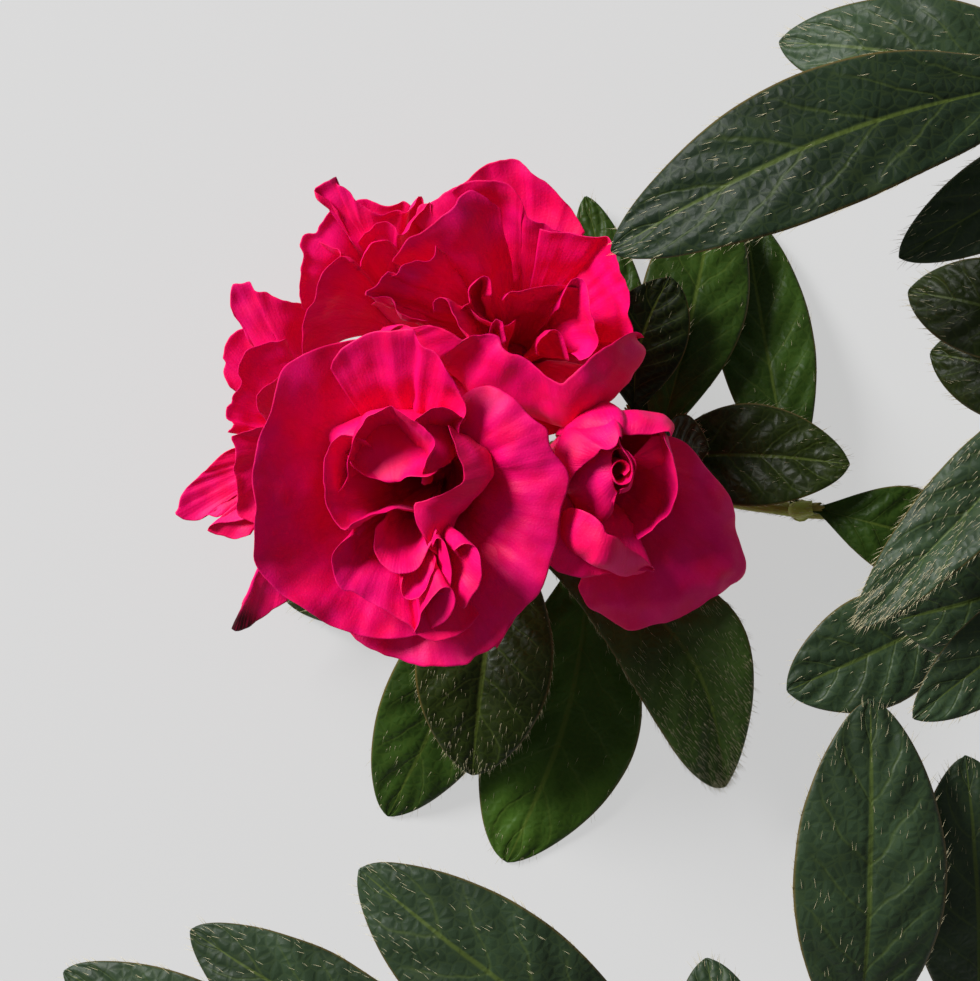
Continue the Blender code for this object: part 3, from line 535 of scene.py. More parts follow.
def leaf_vein_nodes(tree):
    """How far a place is on the midrib, a side vein, the net, a pillow of it and the edge."""
    solid = solid_place(tree)
    parts = wire(tree, "SeparateXYZ", {0: mesh_place(tree)}).outputs
    off = maths(tree, "ABSOLUTE", maths(tree, "SUBTRACT", times(tree, parts[0], 2.0), 1.0))
    wobble = times(tree, cloud(tree, solid, VEIN_WOBBLE), 0.5)
    run = maths(tree, "ADD", times(tree, parts[1], LEAF_VEINS), wobble)
    phase = maths(tree, "SUBTRACT", run, times(tree, off, LEAF_VEIN_SLOPE))
    gap = maths(tree, "ABSOLUTE", maths(tree, "SUBTRACT", maths(tree, "FRACT", phase), 0.5))
    side = times(tree, ramp(tree, gap, 0.07, 0.0), ramp(tree, off, 1.0, 0.55))
    midrib = ramp(tree, off, 0.06, 0.015)
    cells = wire(tree, "TexVoronoi", {"Vector": solid, "Scale": LEAF_NET},
                 feature="DISTANCE_TO_EDGE").outputs[0]
    net = ramp(tree, cells, 0.11, 0.0)
    pillow = ramp(tree, cells, 0.0, 0.42)
    edge = ramp(tree, off, 0.955, 1.0)
    return solid, midrib, side, net, pillow, edge


def leaf_material(name, tint, roughness, gloss):
    """Leathery: pale midrib, sunk side veins, and a fine net with pillows between."""
    made, tree, shader = start_material(name, roughness, gloss)
    solid, midrib, side, net, pillow, edge = leaf_vein_nodes(tree)
    patch = cloud(tree, solid, LEAF_PATCH)
    light = tuple(c * 1.6 for c in tint[:3]) + (1,)
    colour = lay_over(tree, tint, (
        (ramp(tree, patch, 0.3, 0.75), light),
        (times(tree, net, 0.10), VEIN), (times(tree, side, 0.24), VEIN),
        (times(tree, edge, 0.7), LEAF_EDGE), (times(tree, midrib, 0.6), VEIN)))
    grain = cloud(tree, solid, LEAF_GRAIN)
    sunk = maths(tree, "SUBTRACT", 1.0, side)
    layers = ((sunk, 0.00006), (pillow, 0.00010), (grain, 0.00003))
    finish_material(tree, shader, colour, layers)
    return made


def leaf_back_material():
    made, tree, shader = start_material("leaf_back", 0.7, 0.25)
    solid, midrib, side, net, _, _ = leaf_vein_nodes(tree)
    patch = ramp(tree, cloud(tree, solid, LEAF_BACK_PATCH), 0.3, 0.7, 0, 0.5)
    raised = maths(tree, "MAXIMUM", midrib, side)
    colour = lay_over(tree, LEAF_BACK, (
        (patch, LEAF_LOOKS["fresh"][0]), (times(tree, raised, 0.7), VEIN)))
    finish_material(tree, shader, colour, ((raised, 0.0003), (net, 0.0001)))
    return made


def stem_material(name, main, second, scale, relief, roughness):
    """Skin or bark: streaks along the stem, patches of the second colour and a rough grain."""
    made, tree, shader = start_material(name, roughness, 0.3)
    solid = solid_place(tree)
    place = mesh_place(tree)
    streaks = wire(tree, "Mapping", {"Vector": place, "Scale": STEM_STREAKS}).outputs[0]
    run = cloud(tree, streaks, 1.0, 6.0)
    patch = cloud(tree, solid, scale, 5.0)
    share = ramp(tree, times(tree, maths(tree, "ADD", run, patch), 0.5), 0.36, 0.62)
    colour = lay_over(tree, main, ((share, second),))
    finish_material(tree, shader, colour, ((run, relief), (patch, relief)))
    return made


def plain_material(name, colour, roughness):
    """A soft solid colour with a faint grain."""
    made, tree, shader = start_material(name, roughness, 0.3)
    grain = cloud(tree, solid_place(tree), PLAIN_GRAIN)
    darker = tuple(c * 0.7 for c in colour[:3]) + (1,)
    mixed = lay_over(tree, darker, ((grain, colour),))
    finish_material(tree, shader, mixed, ((grain, 0.00005),))
    return made


def wood_material():
    """The sawn end: rings round a small pith."""
    made, tree, shader = start_material("cut_wood", 0.8, 0.2)
    out = wire(tree, "SeparateXYZ", {0: mesh_place(tree)}).outputs[1]
    rings = maths(tree, "SINE", times(tree, out, WOOD_RINGS))
    colour = lay_over(tree, WOOD, ((ramp(tree, rings, -1.0, 1.0, 0.0, 0.35), BARK_BROWN),))
    finish_material(tree, shader, colour, ((rings, 0.00005),))
    return made


# ---------------------------------------------------------------- curves and grids
def unit(vectors):
    return vectors / np.maximum(np.linalg.norm(vectors, axis=-1, keepdims=True), 1e-9)


def blend(values, shares):
    """A smooth curve through evenly spaced values, read at shares from 0 to 1."""
    values = np.asarray(values, float)
    last = len(values) - 1
    place = np.clip(shares, 0.0, 1.0) * last
    cell = np.minimum(place.astype(int), last - 1)
    t = place - cell
    if values.ndim > 1:
        t = t[..., None]
    a = values[np.maximum(cell - 1, 0)]
    b = values[cell]
    c = values[cell + 1]
    d = values[np.minimum(cell + 2, last)]
    return (b * 2 + (c - a) * t + (a * 2 - b * 5 + c * 4 - d) * t ** 2
            + (b * 3 - a - c * 3 + d) * t ** 3) * 0.5


def point_at(points, share):
    return blend(points, np.array([share]))[0]


def bezier(a, b, c, d, t):
    s = 1 - t
    return a * s ** 3 + b * 3 * s * s * t + c * 3 * s * t * t + d * t ** 3


def smooth(low, high, value):
    t = np.clip((value - low) / (high - low), 0.0, 1.0)
    return t * t * (3 - 2 * t)


def seeded_offset(spin):
    return np.array([spin.uniform(0, 90) for _ in range(3)])


def rough(places, offset):
    """Noise from -1 to 1 at places (an array of any shape by 3)."""
    flat = (places.reshape(-1, 3) + offset).tolist()
    return np.array([noise.noise(p) for p in flat]).reshape(places.shape[:-1])


def grid_at(grid, rows, columns):
    """A grid read between its points."""
    j = np.minimum(rows.astype(int), grid.shape[0] - 2)
    i = np.minimum(columns.astype(int), grid.shape[1] - 2)
    v = (rows - j)[:, None]
    u = (columns - i)[:, None]
    low = grid[j, i] * (1 - u) + grid[j, i + 1] * u
    high = grid[j + 1, i] * (1 - u) + grid[j + 1, i + 1] * u
    return low * (1 - v) + high * v


def grid_places(across, along):
    """The place of each point of a grid on its sheet, kept as the mesh's UV."""
    return np.stack(np.meshgrid(across, along), -1)


def grid_normals(grid):
    return unit(np.cross(np.gradient(grid, axis=1), np.gradient(grid, axis=0)))


def ring_faces(height, sides):
    """The faces between rings of points, each ring closed."""
    index = np.arange(height * sides).reshape(height, sides)
    after = np.roll(index, -1, axis=1)
    return np.stack((index[:-1], index[1:], after[1:], after[:-1]), -1).reshape(-1, 4)


def new_object(name, data):
    made = bpy.data.objects.new(name, data)
    bpy.context.scene.collection.objects.link(made)
    return made


class Piece:
    """Gathers the sheets, tubes and hairs of one mesh, with the place on each kept as its UV."""

    def __init__(self, name):
        self.name = name
        self.points = []
        self.places = []
        self.faces = []
        self.slots = []
        self.finishes = []
        self.count = 0

    def add_faces(self, faces, start, finish):
        """Faces between points that are counted from start."""
        if finish not in self.finishes:
            self.finishes.append(finish)
        self.faces += (faces + start).tolist()
        self.slots += [self.finishes.index(finish)] * len(faces)

    def add(self, points, places, faces, finish):
        self.points.append(points.reshape(-1, 3))
        self.places.append(places.reshape(-1, 2))
        self.add_faces(faces, self.count, finish)
        self.count += len(self.points[-1])

    def add_sheet(self, grid, places, thickness, front, back):
        """A closed blade: front and back skins round a grid of points, and the rim between."""
        half = grid_normals(grid) * (thickness / 2)[..., None]
        height, width = grid.shape[:2]
        index = np.arange(height * width).reshape(height, width)
        layer = height * width
        corners = (index[:-1, :-1], index[:-1, 1:], index[1:, 1:], index[1:, :-1])
        quads = np.stack(corners, -1).reshape(-1, 4)
        rim = np.concatenate((index[0, :], index[1:, -1], index[-1, -2::-1], index[-2:0:-1, 0]))
        onward = np.roll(rim, -1)
        edge = np.stack((rim, rim + layer, onward + layer, onward), -1)
        points = np.concatenate((grid + half, grid - half)).reshape(-1, 3)
        both = np.concatenate((places, places)).reshape(-1, 2)
        start = self.count
        self.add(points, both, quads, front)
        self.add_faces(quads[:, ::-1], start + layer, back)
        self.add_faces(edge, start, front)

    def make(self, slot, *nodes):
        """The object, riding on the branch, for the solids that it stands for."""
        mesh = bpy.data.meshes.new(self.name)
        points = (np.concatenate(self.points) + PLANT_TO_ROW) * MM
        mesh.from_pydata(points.tolist(), [], self.faces)
        places = np.concatenate(self.places)
        layer = mesh.uv_layers.new(name="place")
        corners = np.zeros(len(mesh.loops), np.int32)
        mesh.loops.foreach_get("vertex_index", corners)
        layer.data.foreach_set("uv", places[corners].astype(np.float32).ravel())
        for finish in self.finishes:
            mesh.materials.append(finish)
        mesh.polygons.foreach_set("material_index", np.array(self.slots, np.int32))
        mesh.polygons.foreach_set("use_smooth", np.ones(len(self.faces), bool))
        mesh.update()
        made = new_object(self.name, mesh)
        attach(made, "root")
        if nodes:
            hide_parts(*nodes)


def tube_rings(run, radii, sides):
    """The rings of a limb along a run of points, and the way out of the limb at each point."""
    forward = unit(np.gradient(run, axis=0))
    right = np.cross(forward[0], UP)
    if np.linalg.norm(right) < 0.2:
        right = np.array((1.0, 0.0, 0.0))
    turns = np.linspace(0, 2 * math.pi, sides, endpoint=False)
    rings = []
    ways = []
    for place, ahead in zip(run, forward):
        right = unit(right - ahead * np.dot(right, ahead))
        up = np.cross(right, ahead)
        way = np.outer(np.cos(turns), right) + np.outer(np.sin(turns), up)
        ways.append(way)
        rings.append(np.broadcast_to(place, way.shape))
    ways = np.array(ways)
    return np.array(rings) + ways * np.asarray(radii)[..., None, None], ways


def add_tube(piece, rings, finish, along=1.0):
    """Closes rings of points into a skin, drawn to a point at both ends. Along is how often the
    skin's pattern fits its length."""
    first = np.broadcast_to(rings[0].mean(0), rings[:1].shape)
    last = np.broadcast_to(rings[-1].mean(0), rings[:1].shape)
    rings = np.concatenate((first, rings, last))
    height, sides = rings.shape[:2]
    round_it = np.abs(np.linspace(-1, 1, sides, endpoint=False))
    places = grid_places(round_it, np.linspace(0, along, height))
    piece.add(rings, places, ring_faces(height, sides), finish)


def add_hairs(piece, roots, ways, lengths, finish):
    """Fine straight bristles, three-sided and pointed."""
    count = len(roots)
    aside = unit(np.cross(ways, UP + 0.01))
    upward = np.cross(aside, ways)
    corners = []
    for turn in (0.0, 2.1, 4.2):
        corners.append(roots + (aside * math.cos(turn) + upward * math.sin(turn)) * HAIR_RADIUS)
    tips = roots + ways * lengths[:, None]
    points = np.stack(corners + [tips], 1).reshape(-1, 3)
    points[:, 2] = np.maximum(points[:, 2], GROUND + HAIR_RADIUS)
    base = np.arange(count)[:, None, None] * 4
    faces = (base + np.array(((0, 1, 3), (1, 2, 3), (2, 0, 3)))).reshape(-1, 3)
    piece.add(points, np.zeros((len(points), 2)), faces, finish)


def add_bristles(hairs, rings, ways, run, count, rows, spread, lengths, bristle, spin):
    """Bristles at seeded places round a stem, between two of its rows, leaning to its tip."""
    row = np.array([spin.randrange(*rows) for _ in range(count)])
    column = np.array([spin.randrange(rings.shape[1]) for _ in range(count)])
    way = unit(ways[row, column] * spread + unit(np.gradient(run, axis=0))[row])
    lengths = np.array([spin.uniform(*lengths) for _ in range(count)])
    add_hairs(hairs, rings[row, column], way, lengths, bristle)


# ---------------------------------------------------------------- petals
def margin_line(bloom, petal, columns):
    """The margin at even steps along it, in mm off the throat, and its length."""
    seen = blend(petal.margin, np.linspace(0, 1, MARGIN_STEPS))
    steps = np.linalg.norm(np.diff(seen, axis=0), axis=1)
    along = np.concatenate(([0.0], np.cumsum(steps)))
    share = np.linspace(0, 1, columns + 1)
    right, down = [np.interp(share * along[-1], along, seen[:, k]) for k in (0, 1)]
    rise = blend(petal.rise, share)
    pixel = (CAMERA_HEIGHT - bloom.throat[2] - rise) / CAMERA_FOCAL_PIXELS
    x = (right - VIEW_MIDDLE[0]) * pixel - bloom.throat[0]
    y = (VIEW_MIDDLE[1] - down) * pixel - bloom.throat[1]
    line = np.stack((x, y, rise), -1)
    return line, np.linalg.norm(np.diff(line, axis=0), axis=1).sum()


def bloom_axis(bloom):
    """A bloom's throat and root, and the way from its root to its throat."""
    throat = np.array(bloom.throat, float)
    root = np.array(bloom.root, float)
    return throat, root, unit(throat - root)


def petal_grid(bloom, petal, layer, spin):
    """The grid of a petal: Bezier rays from the claw ring to its ruffled, slightly torn rim."""
    throat, root, axis = bloom_axis(bloom)
    length = margin_line(bloom, petal, PETAL_COLUMNS)[1]
    columns = int(np.clip(length / COLUMN_WIDTH, 14, PETAL_COLUMNS))
    line, _ = margin_line(bloom, petal, columns)
    share = np.linspace(0, 1, columns + 1)
    run = 1 - (1 - np.linspace(0, 1, PETAL_ROWS + 1)) ** PETAL_CROWDING
    out = unit(line * (1, 1, 0))
    offset = seeded_offset(spin)
    nicks = rough(np.stack((share * length / 1.5, share * 0, share * 0), -1), offset)
    line = line + out * (nicks * 0.5 * petal.ruffle)[:, None]
    lip = np.radians(blend(petal.lip, share))
    margin = throat + line
    bearing = np.unwrap(np.arctan2(line[:, 1], line[:, 0]))
    bearing = bearing[0] + (bearing[-1] - bearing[0]) * share
    claw_way = np.stack((np.cos(bearing), np.sin(bearing), bearing * 0), -1)
    claw = root + unit(claw_way - axis * (claw_way @ axis)[:, None]) * CLAW_RADIUS * layer
    size = np.linalg.norm(margin - claw, axis=1)
    leave = (axis * 0.9 + claw_way * 0.1) * (size * 0.42)[:, None]
    reach = np.linalg.norm(line[:, :2], axis=1)
    pull = np.minimum(size * 0.42, reach * 0.55 + 4)
    if petal.pull:
        pull = np.full_like(size, petal.pull)
    arrive = (out * np.cos(lip)[:, None] + UP * np.sin(lip)[:, None]) * pull[:, None]
    corners = [row[None] for row in (claw, claw + leave, margin - arrive, margin)]
    grid = bezier(*corners, run[:, None, None])
    places = grid_places(share, run)
    return shape_petal(grid, places, petal, length, offset), places


def shape_petal(grid, places, petal, length, offset):
    """Waves the margin, swells the blade, creases it towards the claw and turns the rim back."""
    normal = grid_normals(grid)
    s = places[..., 0]
    t = places[..., 1]
    zero = np.zeros_like(s)
    waves = rough(np.stack((s * length / WAVE_LENGTH, t * 1.2, zero), -1), offset + 11)
    flutter = rough(np.stack((s * length / FLUTTER_LENGTH, t * 1.5, zero), -1), offset + 23)
    swell = rough(grid / SWELL_SIZES[0], offset) + 0.4 * rough(grid / SWELL_SIZES[1], offset)
    crease = rough(np.stack((s * length / CREASE_WIDTH, t * 0.9, zero), -1), offset + 37)
    lift = petal.ruffle * smooth(0.68, 1.0, t) ** 1.6 * (2.0 * waves + 0.9 * flutter)
    lift = lift + SWELL_HEIGHT * swell * smooth(0.1, 0.5, t)
    lift = lift + 0.12 * crease * smooth(0.15, 0.6, t)
    turned = petal.curl * smooth(0.93, 1.0, t) ** 2 * (0.6 + 0.8 * waves)
    return grid + normal * (lift - turned)[..., None]


def petal_thickness(places):
    """Even, and thinning to a fine round rim."""
    edge = np.maximum(np.abs(places[..., 0] * 2 - 1), places[..., 1])
    return PETAL_THICK * np.sqrt(np.maximum(1 - edge ** 14, 0.03))


def make_bloom(bloom, finishes):
    spin = random.Random(bloom.name)
    piece = Piece(bloom.name + "_petals")
    for place, petal in enumerate(bloom.petals):
        layer = 1.3 - 0.8 * place / len(bloom.petals)
        grid, places = petal_grid(bloom, petal, layer, spin)
        thickness = petal_thickness(places)
        piece.add_sheet(grid, places, thickness, finishes["petal"], finishes["petal_back"])
    throat, root, axis = bloom_axis(bloom)
    shares = np.linspace(0, 1, 14)
    run = (root - axis) + ((throat - root) * 0.25 + axis) * shares[:, None]
    waist = [CORE_RADIUS * share for share in (0.86, 0.8, 0.5)]
    radii = blend((CORE_FOOT_RADIUS, CLAW_RADIUS + 0.6, *waist), shares)
    rings, _ = tube_rings(run, radii, 24)
    add_tube(piece, rings, finishes["petal_back"], 0.3)
    piece.make("petals", bloom.name)


# ---------------------------------------------------------------- stems
def limb_run(points, steps):
    return blend(points, np.linspace(0, 1, steps + 1))


def add_limb(piece, hairs, run, start_radius, end_radius, skin, finishes, spin):
    """A tapering limb with its skin's relief, flare and bristles."""
    shares = np.linspace(0, 1, len(run))
    radii = start_radius + (end_radius - start_radius) * shares
    radii = radii * (1 + skin.flare * np.exp(-shares * 26)) - skin.relief
    rings, ways = tube_rings(run, radii, skin.sides)
    along = rings - ways * radii[:, None, None]
    turn = unit(ways) * 2.2
    coarse = rough(np.concatenate((turn[..., :2] * 1.6, along[..., :1] / 5), -1), 5.0)
    fine = rough(rings / 0.9, 9.0)
    rings = rings + ways * (coarse * skin.relief + fine * skin.relief * 0.5)[..., None]
    add_tube(piece, rings, finishes[skin.finish], len(run) / 30)
    count = int(np.linalg.norm(np.diff(run, axis=0), axis=1).sum() * skin.bristles)
    add_bristles(hairs, rings, ways, run, count, (1, len(run) - 1), 0.55, STEM_BRISTLE,
                 finishes["hair"], spin)


def add_cut_end(piece, run, radius, finish):
    """The sawn face across the start of the main stem."""
    forward = unit(run[1] - run[0])
    ends = run[0] - np.outer((0.05, 0.04), forward)
    rings, _ = tube_rings(ends, np.array((radius, radius)), STEM_SKIN.sides)
    middle = rings[0].mean(0)
    shares = np.linspace(1, 0.02, 16)
    disc = middle + (rings[0][None] - middle) * shares[:, None, None]
    height, sides = disc.shape[:2]
    faces = ring_faces(height, sides)[:, (0, 3, 2, 1)]
    piece.add(disc, grid_places(np.linspace(0, 1, sides), shares), faces, finish)


def receptacle_rings(cluster, way):
    shares = np.linspace(0, 1, 16)
    radii = blend(RECEPTACLE_RADII, shares)
    run = cluster + way * (RECEPTACLE_RADIUS * (shares * 1.9 - 1))[:, None]
    return tube_rings(run, radii, 28)[0]


def add_scales(piece, base, way, sizes, finish, spin):
    """Papery bud scales that stand round a shoot's tip, or a calyx's lobes."""
    radius, count, length = sizes
    side = unit(np.cross(way, UP + 0.2))
    other = np.cross(way, side)
    for k in range(count):
        turn = 2 * math.pi * k / count + spin.uniform(-0.2, 0.2)
        out = side * math.cos(turn) + other * math.sin(turn)
        across = np.cross(way, out)
        tall = length * spin.uniform(0.75, 1.1)
        t = np.linspace(0, 1, 10)[:, None, None]
        u = np.linspace(-1, 1, 7)[None, :, None]
        width = radius * 0.85 * np.sin(np.pi * np.clip(t, 0.04, 0.98) ** 0.8)
        grid = base + out * (radius * (1 + 0.35 * t * t - 0.25 * u * u * t))
        grid = grid + way * tall * t + across * width * u
        places = grid_places(np.linspace(0, 1, 7), np.linspace(0, 1, 10))
        piece.add_sheet(grid, places, np.full(places.shape[:2], SCALE_THICK), finish, finish)


# ---------------------------------------------------------------- leaves
def leaf_profile(t):
    """Half of a leaf's width as a share of its widest, at shares of its length."""
    fullness = np.maximum(np.sin(math.pi * np.clip(t, 0, 1) ** LEAF_LATENESS), 0.0)
    return fullness ** (LEAF_FULLNESS + 0.25 * (1 - t))


def leaf_grid(base, leaf, spin):
    """The grid of a leaf as in the solids, then bowed, twisted, waved and veined."""
    tip = np.array(leaf.tip, float)
    length = np.linalg.norm(tip - base)
    forward = unit(tip - base)
    right = unit(np.cross(forward, UP))
    up = np.cross(right, forward)
    t = 1 - (1 - np.linspace(0, 1, LEAF_ROWS + 1)[:, None]) ** LEAF_CROWDING
    side = np.linspace(-1, 1, LEAF_COLUMNS + 1)
    roll = np.radians(leaf.roll + spin.uniform(-7, 7) * (t - 0.4))
    right_row = right * np.cos(roll) + up * np.sin(roll)
    up_row = up * np.cos(roll) - right * np.sin(roll)
    bow = (leaf.bow / 100 + spin.uniform(-0.01, 0.01)) * length * np.sin(math.pi * t)
    nod = spin.uniform(-0.02, 0.02) * length * np.sin(2 * math.pi * t)
    arch = length * leaf.arch / 100 * np.sin(math.pi * t) + nod
    middle = base + (tip - base) * t + up * arch + right_row * bow
    half = np.maximum(leaf.width / 2 * leaf_profile(t), PETIOLE_RADIUS * (1 - t) + 0.12)
    fold = math.radians(leaf.fold)
    off = np.abs(side)
    across = side * half
    lift = math.sin(fold) * off * half * (1 - 0.35 * off) - 0.10 * half * side ** 2
    offset = seeded_offset(spin)
    zero = np.zeros_like(across)
    wave_place = np.stack((zero + np.sign(side) * 3, zero + t * length / 11, zero), -1)
    waves = rough(wave_place, offset) * 1.1
    lift = lift + waves * off ** 2 * np.sin(math.pi * t)
    swell_place = np.stack((across / 8, zero + t * length / 8, zero), -1)
    lift = lift + rough(swell_place, offset + 7) * 0.6 * np.minimum(half / 5, 1)
    lift = lift + leaf_relief(t, off, half)
    grid = middle[:, None] + right_row[:, None] * (math.cos(fold) * across)[..., None]
    grid = grid + up_row[:, None] * lift[..., None]
    grid[..., 2] = np.maximum(grid[..., 2], GROUND + LEAF_THICK)
    return grid, grid_places((side + 1) / 2, t[:, 0]), forward


def leaf_relief(t, off, half):
    """The midrib's groove and the quilting between the side veins, in mm."""
    groove = -GROOVE_DEPTH * np.exp(-(off * half / 0.55) ** 2) * (1 - t) ** 0.3
    phase = t * LEAF_VEINS - off * LEAF_VEIN_SLOPE
    quilt = QUILT_HEIGHT * np.cos(2 * math.pi * phase) * smooth(0.05, 0.3, off)
    return groove + quilt * smooth(1.0, 0.7, off) * np.minimum(half / 6, 1)


def leaf_thickness(places):
    off = np.abs(places[..., 0] * 2 - 1)
    stalk = 0.9 * smooth(0.08, 0.0, places[..., 1])
    midrib = 0.35 * np.exp(-(off / 0.12) ** 2)
    return (LEAF_THICK + stalk + midrib) * np.sqrt(np.maximum(1 - off ** 12, 0.05))


def add_leaf_hairs(piece, grid, forward, leaf, finish, spin):
    """Bristles that lie along the leaf's face and fringe its edge."""
    rows, columns = grid.shape[:2]
    normal = grid_normals(grid)
    if normal[rows // 2, columns // 2, 2] < 0:
        normal = -normal
    length = np.linalg.norm(grid[-1, columns // 2] - grid[0, columns // 2])
    area = length * leaf.width * 0.72 / 100
    on_face = int(area * leaf.hairs)
    fringe = int(rows * min(1.3, leaf.hairs / 20))
    j = [spin.uniform(2, rows - 2) for _ in range(on_face + fringe * 2)]
    i = [spin.uniform(0.5, columns - 1.5) for _ in range(on_face)]
    i = np.array(i + [0.0] * fringe + [columns - 1.0] * fringe)
    j = np.array(j)
    at_edge = ((i == 0) | (i == columns - 1))[:, None]
    root = grid_at(grid, j, i)
    face = unit(grid_at(normal, j, i))
    edge = unit(root - grid_at(grid, j, j * 0 + columns // 2) + 1e-6) * at_edge
    jitter = np.array([[spin.uniform(-0.24, 0.24) for _ in range(3)] for _ in range(len(j))])
    way = unit(forward + face * 0.13 + edge * 0.35 + jitter)
    lengths = np.array([spin.uniform(*LEAF_HAIR) for _ in range(len(j))])
    place = root + face * LEAF_THICK * 0.4 * (1 - at_edge)
    add_hairs(piece, place, way, lengths, finish)


def whorl_leaves(mass, spin):
    """The leaves round a stem's tip, by the solids' seeded rule."""
    added = []
    if not mass.whorl:
        return added
    whorl = mass.whorl
    for k in range(whorl.count):
        share = (k + 0.5) / whorl.count
        turn = (whorl.bearing_to - whorl.bearing_from) * share
        bearing = math.radians(whorl.bearing_from + turn + spin.uniform(-8, 8))
        length = whorl.length * spin.uniform(0.82, 1.08)
        lift = whorl.rise + spin.uniform(-0.15, 0.2)
        way = unit(np.array((math.cos(bearing), math.sin(bearing), lift)))
        along = 0.35 + 0.6 * share
        tip = point_at(mass.stem, along) + way * length
        width = whorl.width * spin.uniform(0.9, 1.1)
        roll = spin.uniform(-15, 15)
        if k in whorl.left_out:
            continue
        added.append(Leaf(f"whorl_{k}", along, tuple(tip), width, roll, 14, 9, whorl.tint, 14))
    return added


def make_mass(mass, runs, finishes, spin, hairs):
    stem = (tuple(point_at(runs[mass.parent], mass.share)),) + mass.stem
    own = random.Random(mass.name)
    blades = Piece(mass.name + "_blades")
    twig = Piece(mass.name + "_twig")
    run = limb_run(stem, 40)
    radius = NODE_RADIUS if mass.name == "leaves_node" else TWIG_RADIUS
    add_limb(twig, hairs, run, radius, radius * 0.8, TWIG_SKIN, finishes, own)
    way = unit(run[-1] - run[-2])
    add_scales(twig, run[-1] - way * 0.6, way, TWIG_SCALES, finishes["scale"], own)
    for leaf in list(mass.leaves) + whorl_leaves(mass, spin):
        grid, places, forward = leaf_grid(point_at(stem, leaf.along), leaf, own)
        thickness = leaf_thickness(places)
        blades.add_sheet(grid, places, thickness, finishes[leaf.tint], finishes["leaf_back"])
        add_leaf_hairs(hairs, grid, forward, leaf, finishes["hair"], own)
    blades.make("leaves", mass.name)
    twig.make("green_stem")


# ---------------------------------------------------------------- the branch
def make_limbs(finishes, hairs):
    """Every limb with its relief, and each one's run of points for what grows on it."""
    spin = random.Random("limbs")
    runs = {}
    for row in LIMBS:
        points = row.points
        if row.parent:
            points = (tuple(point_at(runs[row.parent], row.share)),) + points
        runs[row.name] = points
        woody = row.name == "main_stem"
        piece = Piece(row.name + "_skin")
        run = limb_run(points, 60 * (len(points) - 1))
        skin = STEM_SKIN if woody else SHOOT_SKIN
        add_limb(piece, hairs, run, row.start_radius, row.end_radius, skin, finishes, spin)
        if woody:
            add_cut_end(piece, run, row.start_radius * 0.97, finishes["wood"])
        if row.name == "flower_shoot":
            way = unit(run[-1] - run[-2])
            cluster = np.array(CLUSTER, float)
            add_tube(piece, receptacle_rings(cluster, way), finishes["shoot"])
            add_scales(piece, cluster - way * 4.5, way, BUD_SCALES, finishes["scale"], spin)
        piece.make("bark" if woody else "green_stem", row.name)
    return runs


def make_pedicel(bloom, finishes, hairs):
    """A bristly flower stalk that widens into a calyx of five small lobes."""
    spin = random.Random(bloom.name + "_pedicel")
    cluster = np.array(CLUSTER, float)
    _, root, axis = bloom_axis(bloom)
    top = root - axis * 1.2
    start = cluster + unit(top - cluster) * (RECEPTACLE_RADIUS - 1.2)
    t = np.linspace(0, 1, 40)[:, None]
    run = bezier(start, start + (top - start) * 0.4, top - axis * 5, top, t)
    radii = (PEDICEL_RADIUS,) * 6 + (PEDICEL_RADIUS * 1.5, CALYX_RADIUS * 0.8, CORE_FOOT_RADIUS)
    rings, ways = tube_rings(run, blend(radii, t[:, 0]), 20)
    name = bloom.name.replace("bloom", "pedicel")
    piece = Piece(name + "_stalk")
    add_tube(piece, rings, finishes["shoot"])
    add_scales(piece, top - axis * 1.2, axis, CALYX_LOBES, finishes["calyx"], spin)
    add_bristles(hairs, rings, ways, run, PEDICEL_BRISTLES, (2, 38), 0.7, PEDICEL_BRISTLE,
                 finishes["hair"], spin)
    piece.make("pedicels", name)


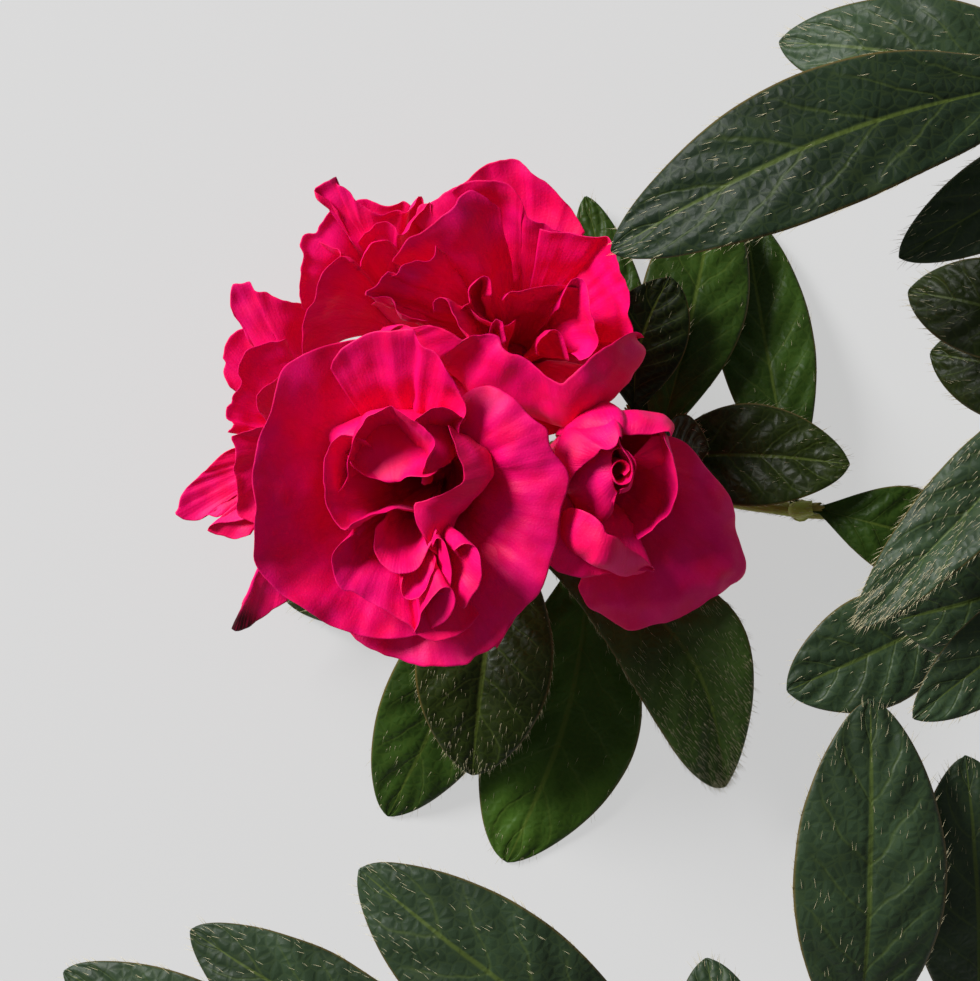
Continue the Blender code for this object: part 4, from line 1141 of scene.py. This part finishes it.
def make_finishes():
    finishes = {
        "petal": petal_material("petal", CRIMSON, MAGENTA),
        "petal_back": petal_material("petal_back", MAGENTA, CRIMSON),
        "leaf_back": leaf_back_material(),
        "shoot": stem_material("shoot_skin", SHOOT_GREEN, SHOOT_BROWN, 260.0, 0.00012, 0.6),
        "bark": stem_material("stem_bark", BARK_BROWN, BARK_PALE, 320.0, 0.0004, 0.88),
        "scale": plain_material("bud_scale", SHOOT_BROWN, 0.6),
        "calyx": plain_material("calyx", SHOOT_GREEN, 0.55),
        "hair": plain_material("bristle", HAIR, 0.5),
        "wood": wood_material(),
    }
    for name, look in LEAF_LOOKS.items():
        finishes[name] = leaf_material("leaf_" + name, *look)
    return finishes


# ---------------------------------------------------------------- studio
def make_key_light():
    lamp = bpy.data.lights.new("key", "AREA")
    lamp.shape = "DISK"
    lamp.size = KEY_SIZE
    lamp.energy = KEY_WATTS
    made = new_object("key", lamp)
    middle = PLANT_TO_ROW * MM * (1, 1, 0)
    made.location = middle + KEY_PLACE
    made.rotation_mode = "QUATERNION"
    way = Vector(middle + (0, 0, KEY_AIM_HEIGHT)) - made.location
    made.rotation_quaternion = way.to_track_quat("-Z", "Y")


def make_floor():
    half = FLOOR_HALF
    corners = ((-half, -half, 0), (half, -half, 0), (half, half, 0), (-half, half, 0))
    mesh = bpy.data.meshes.new("floor")
    mesh.from_pydata(corners, [], [(0, 1, 2, 3)])
    finish, _, _ = start_material("backdrop", 0.9, 0.1, (
        ("Base Color", FLOOR), ("Emission Color", WHITE), ("Emission Strength", FLOOR_GLOW)))
    mesh.materials.append(finish)
    floor = new_object("floor", mesh)


def make_studio():
    scene = bpy.context.scene
    scene.view_settings.view_transform = "Standard"
    world = bpy.data.worlds.new("studio")
    world.use_nodes = True
    sky = world.node_tree.nodes["Background"].inputs
    sky[0].default_value = WHITE
    sky[1].default_value = WORLD_GLOW
    scene.world = world
    make_key_light()
    make_floor()
    lens = bpy.data.cameras.new("camera")
    lens.sensor_width = SENSOR
    lens.lens = CAMERA_FOCAL_PIXELS / PHOTO_LONG_SIDE * SENSOR
    lens.clip_start = 0.01
    camera = new_object("camera", lens)
    camera.location = (np.array((0, 0, CAMERA_HEIGHT)) + PLANT_TO_ROW) * MM
    scene.camera = camera


def main():
    finishes = make_finishes()
    hairs = Piece("bristles")
    runs = make_limbs(finishes, hairs)
    for bloom in BLOOMS:
        make_bloom(bloom, finishes)
        make_pedicel(bloom, finishes, hairs)
    spin = random.Random(SEED)
    for mass in MASSES:
        make_mass(mass, runs, finishes, spin, hairs)
    hairs.make("leaves")
    make_studio()
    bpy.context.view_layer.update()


main()
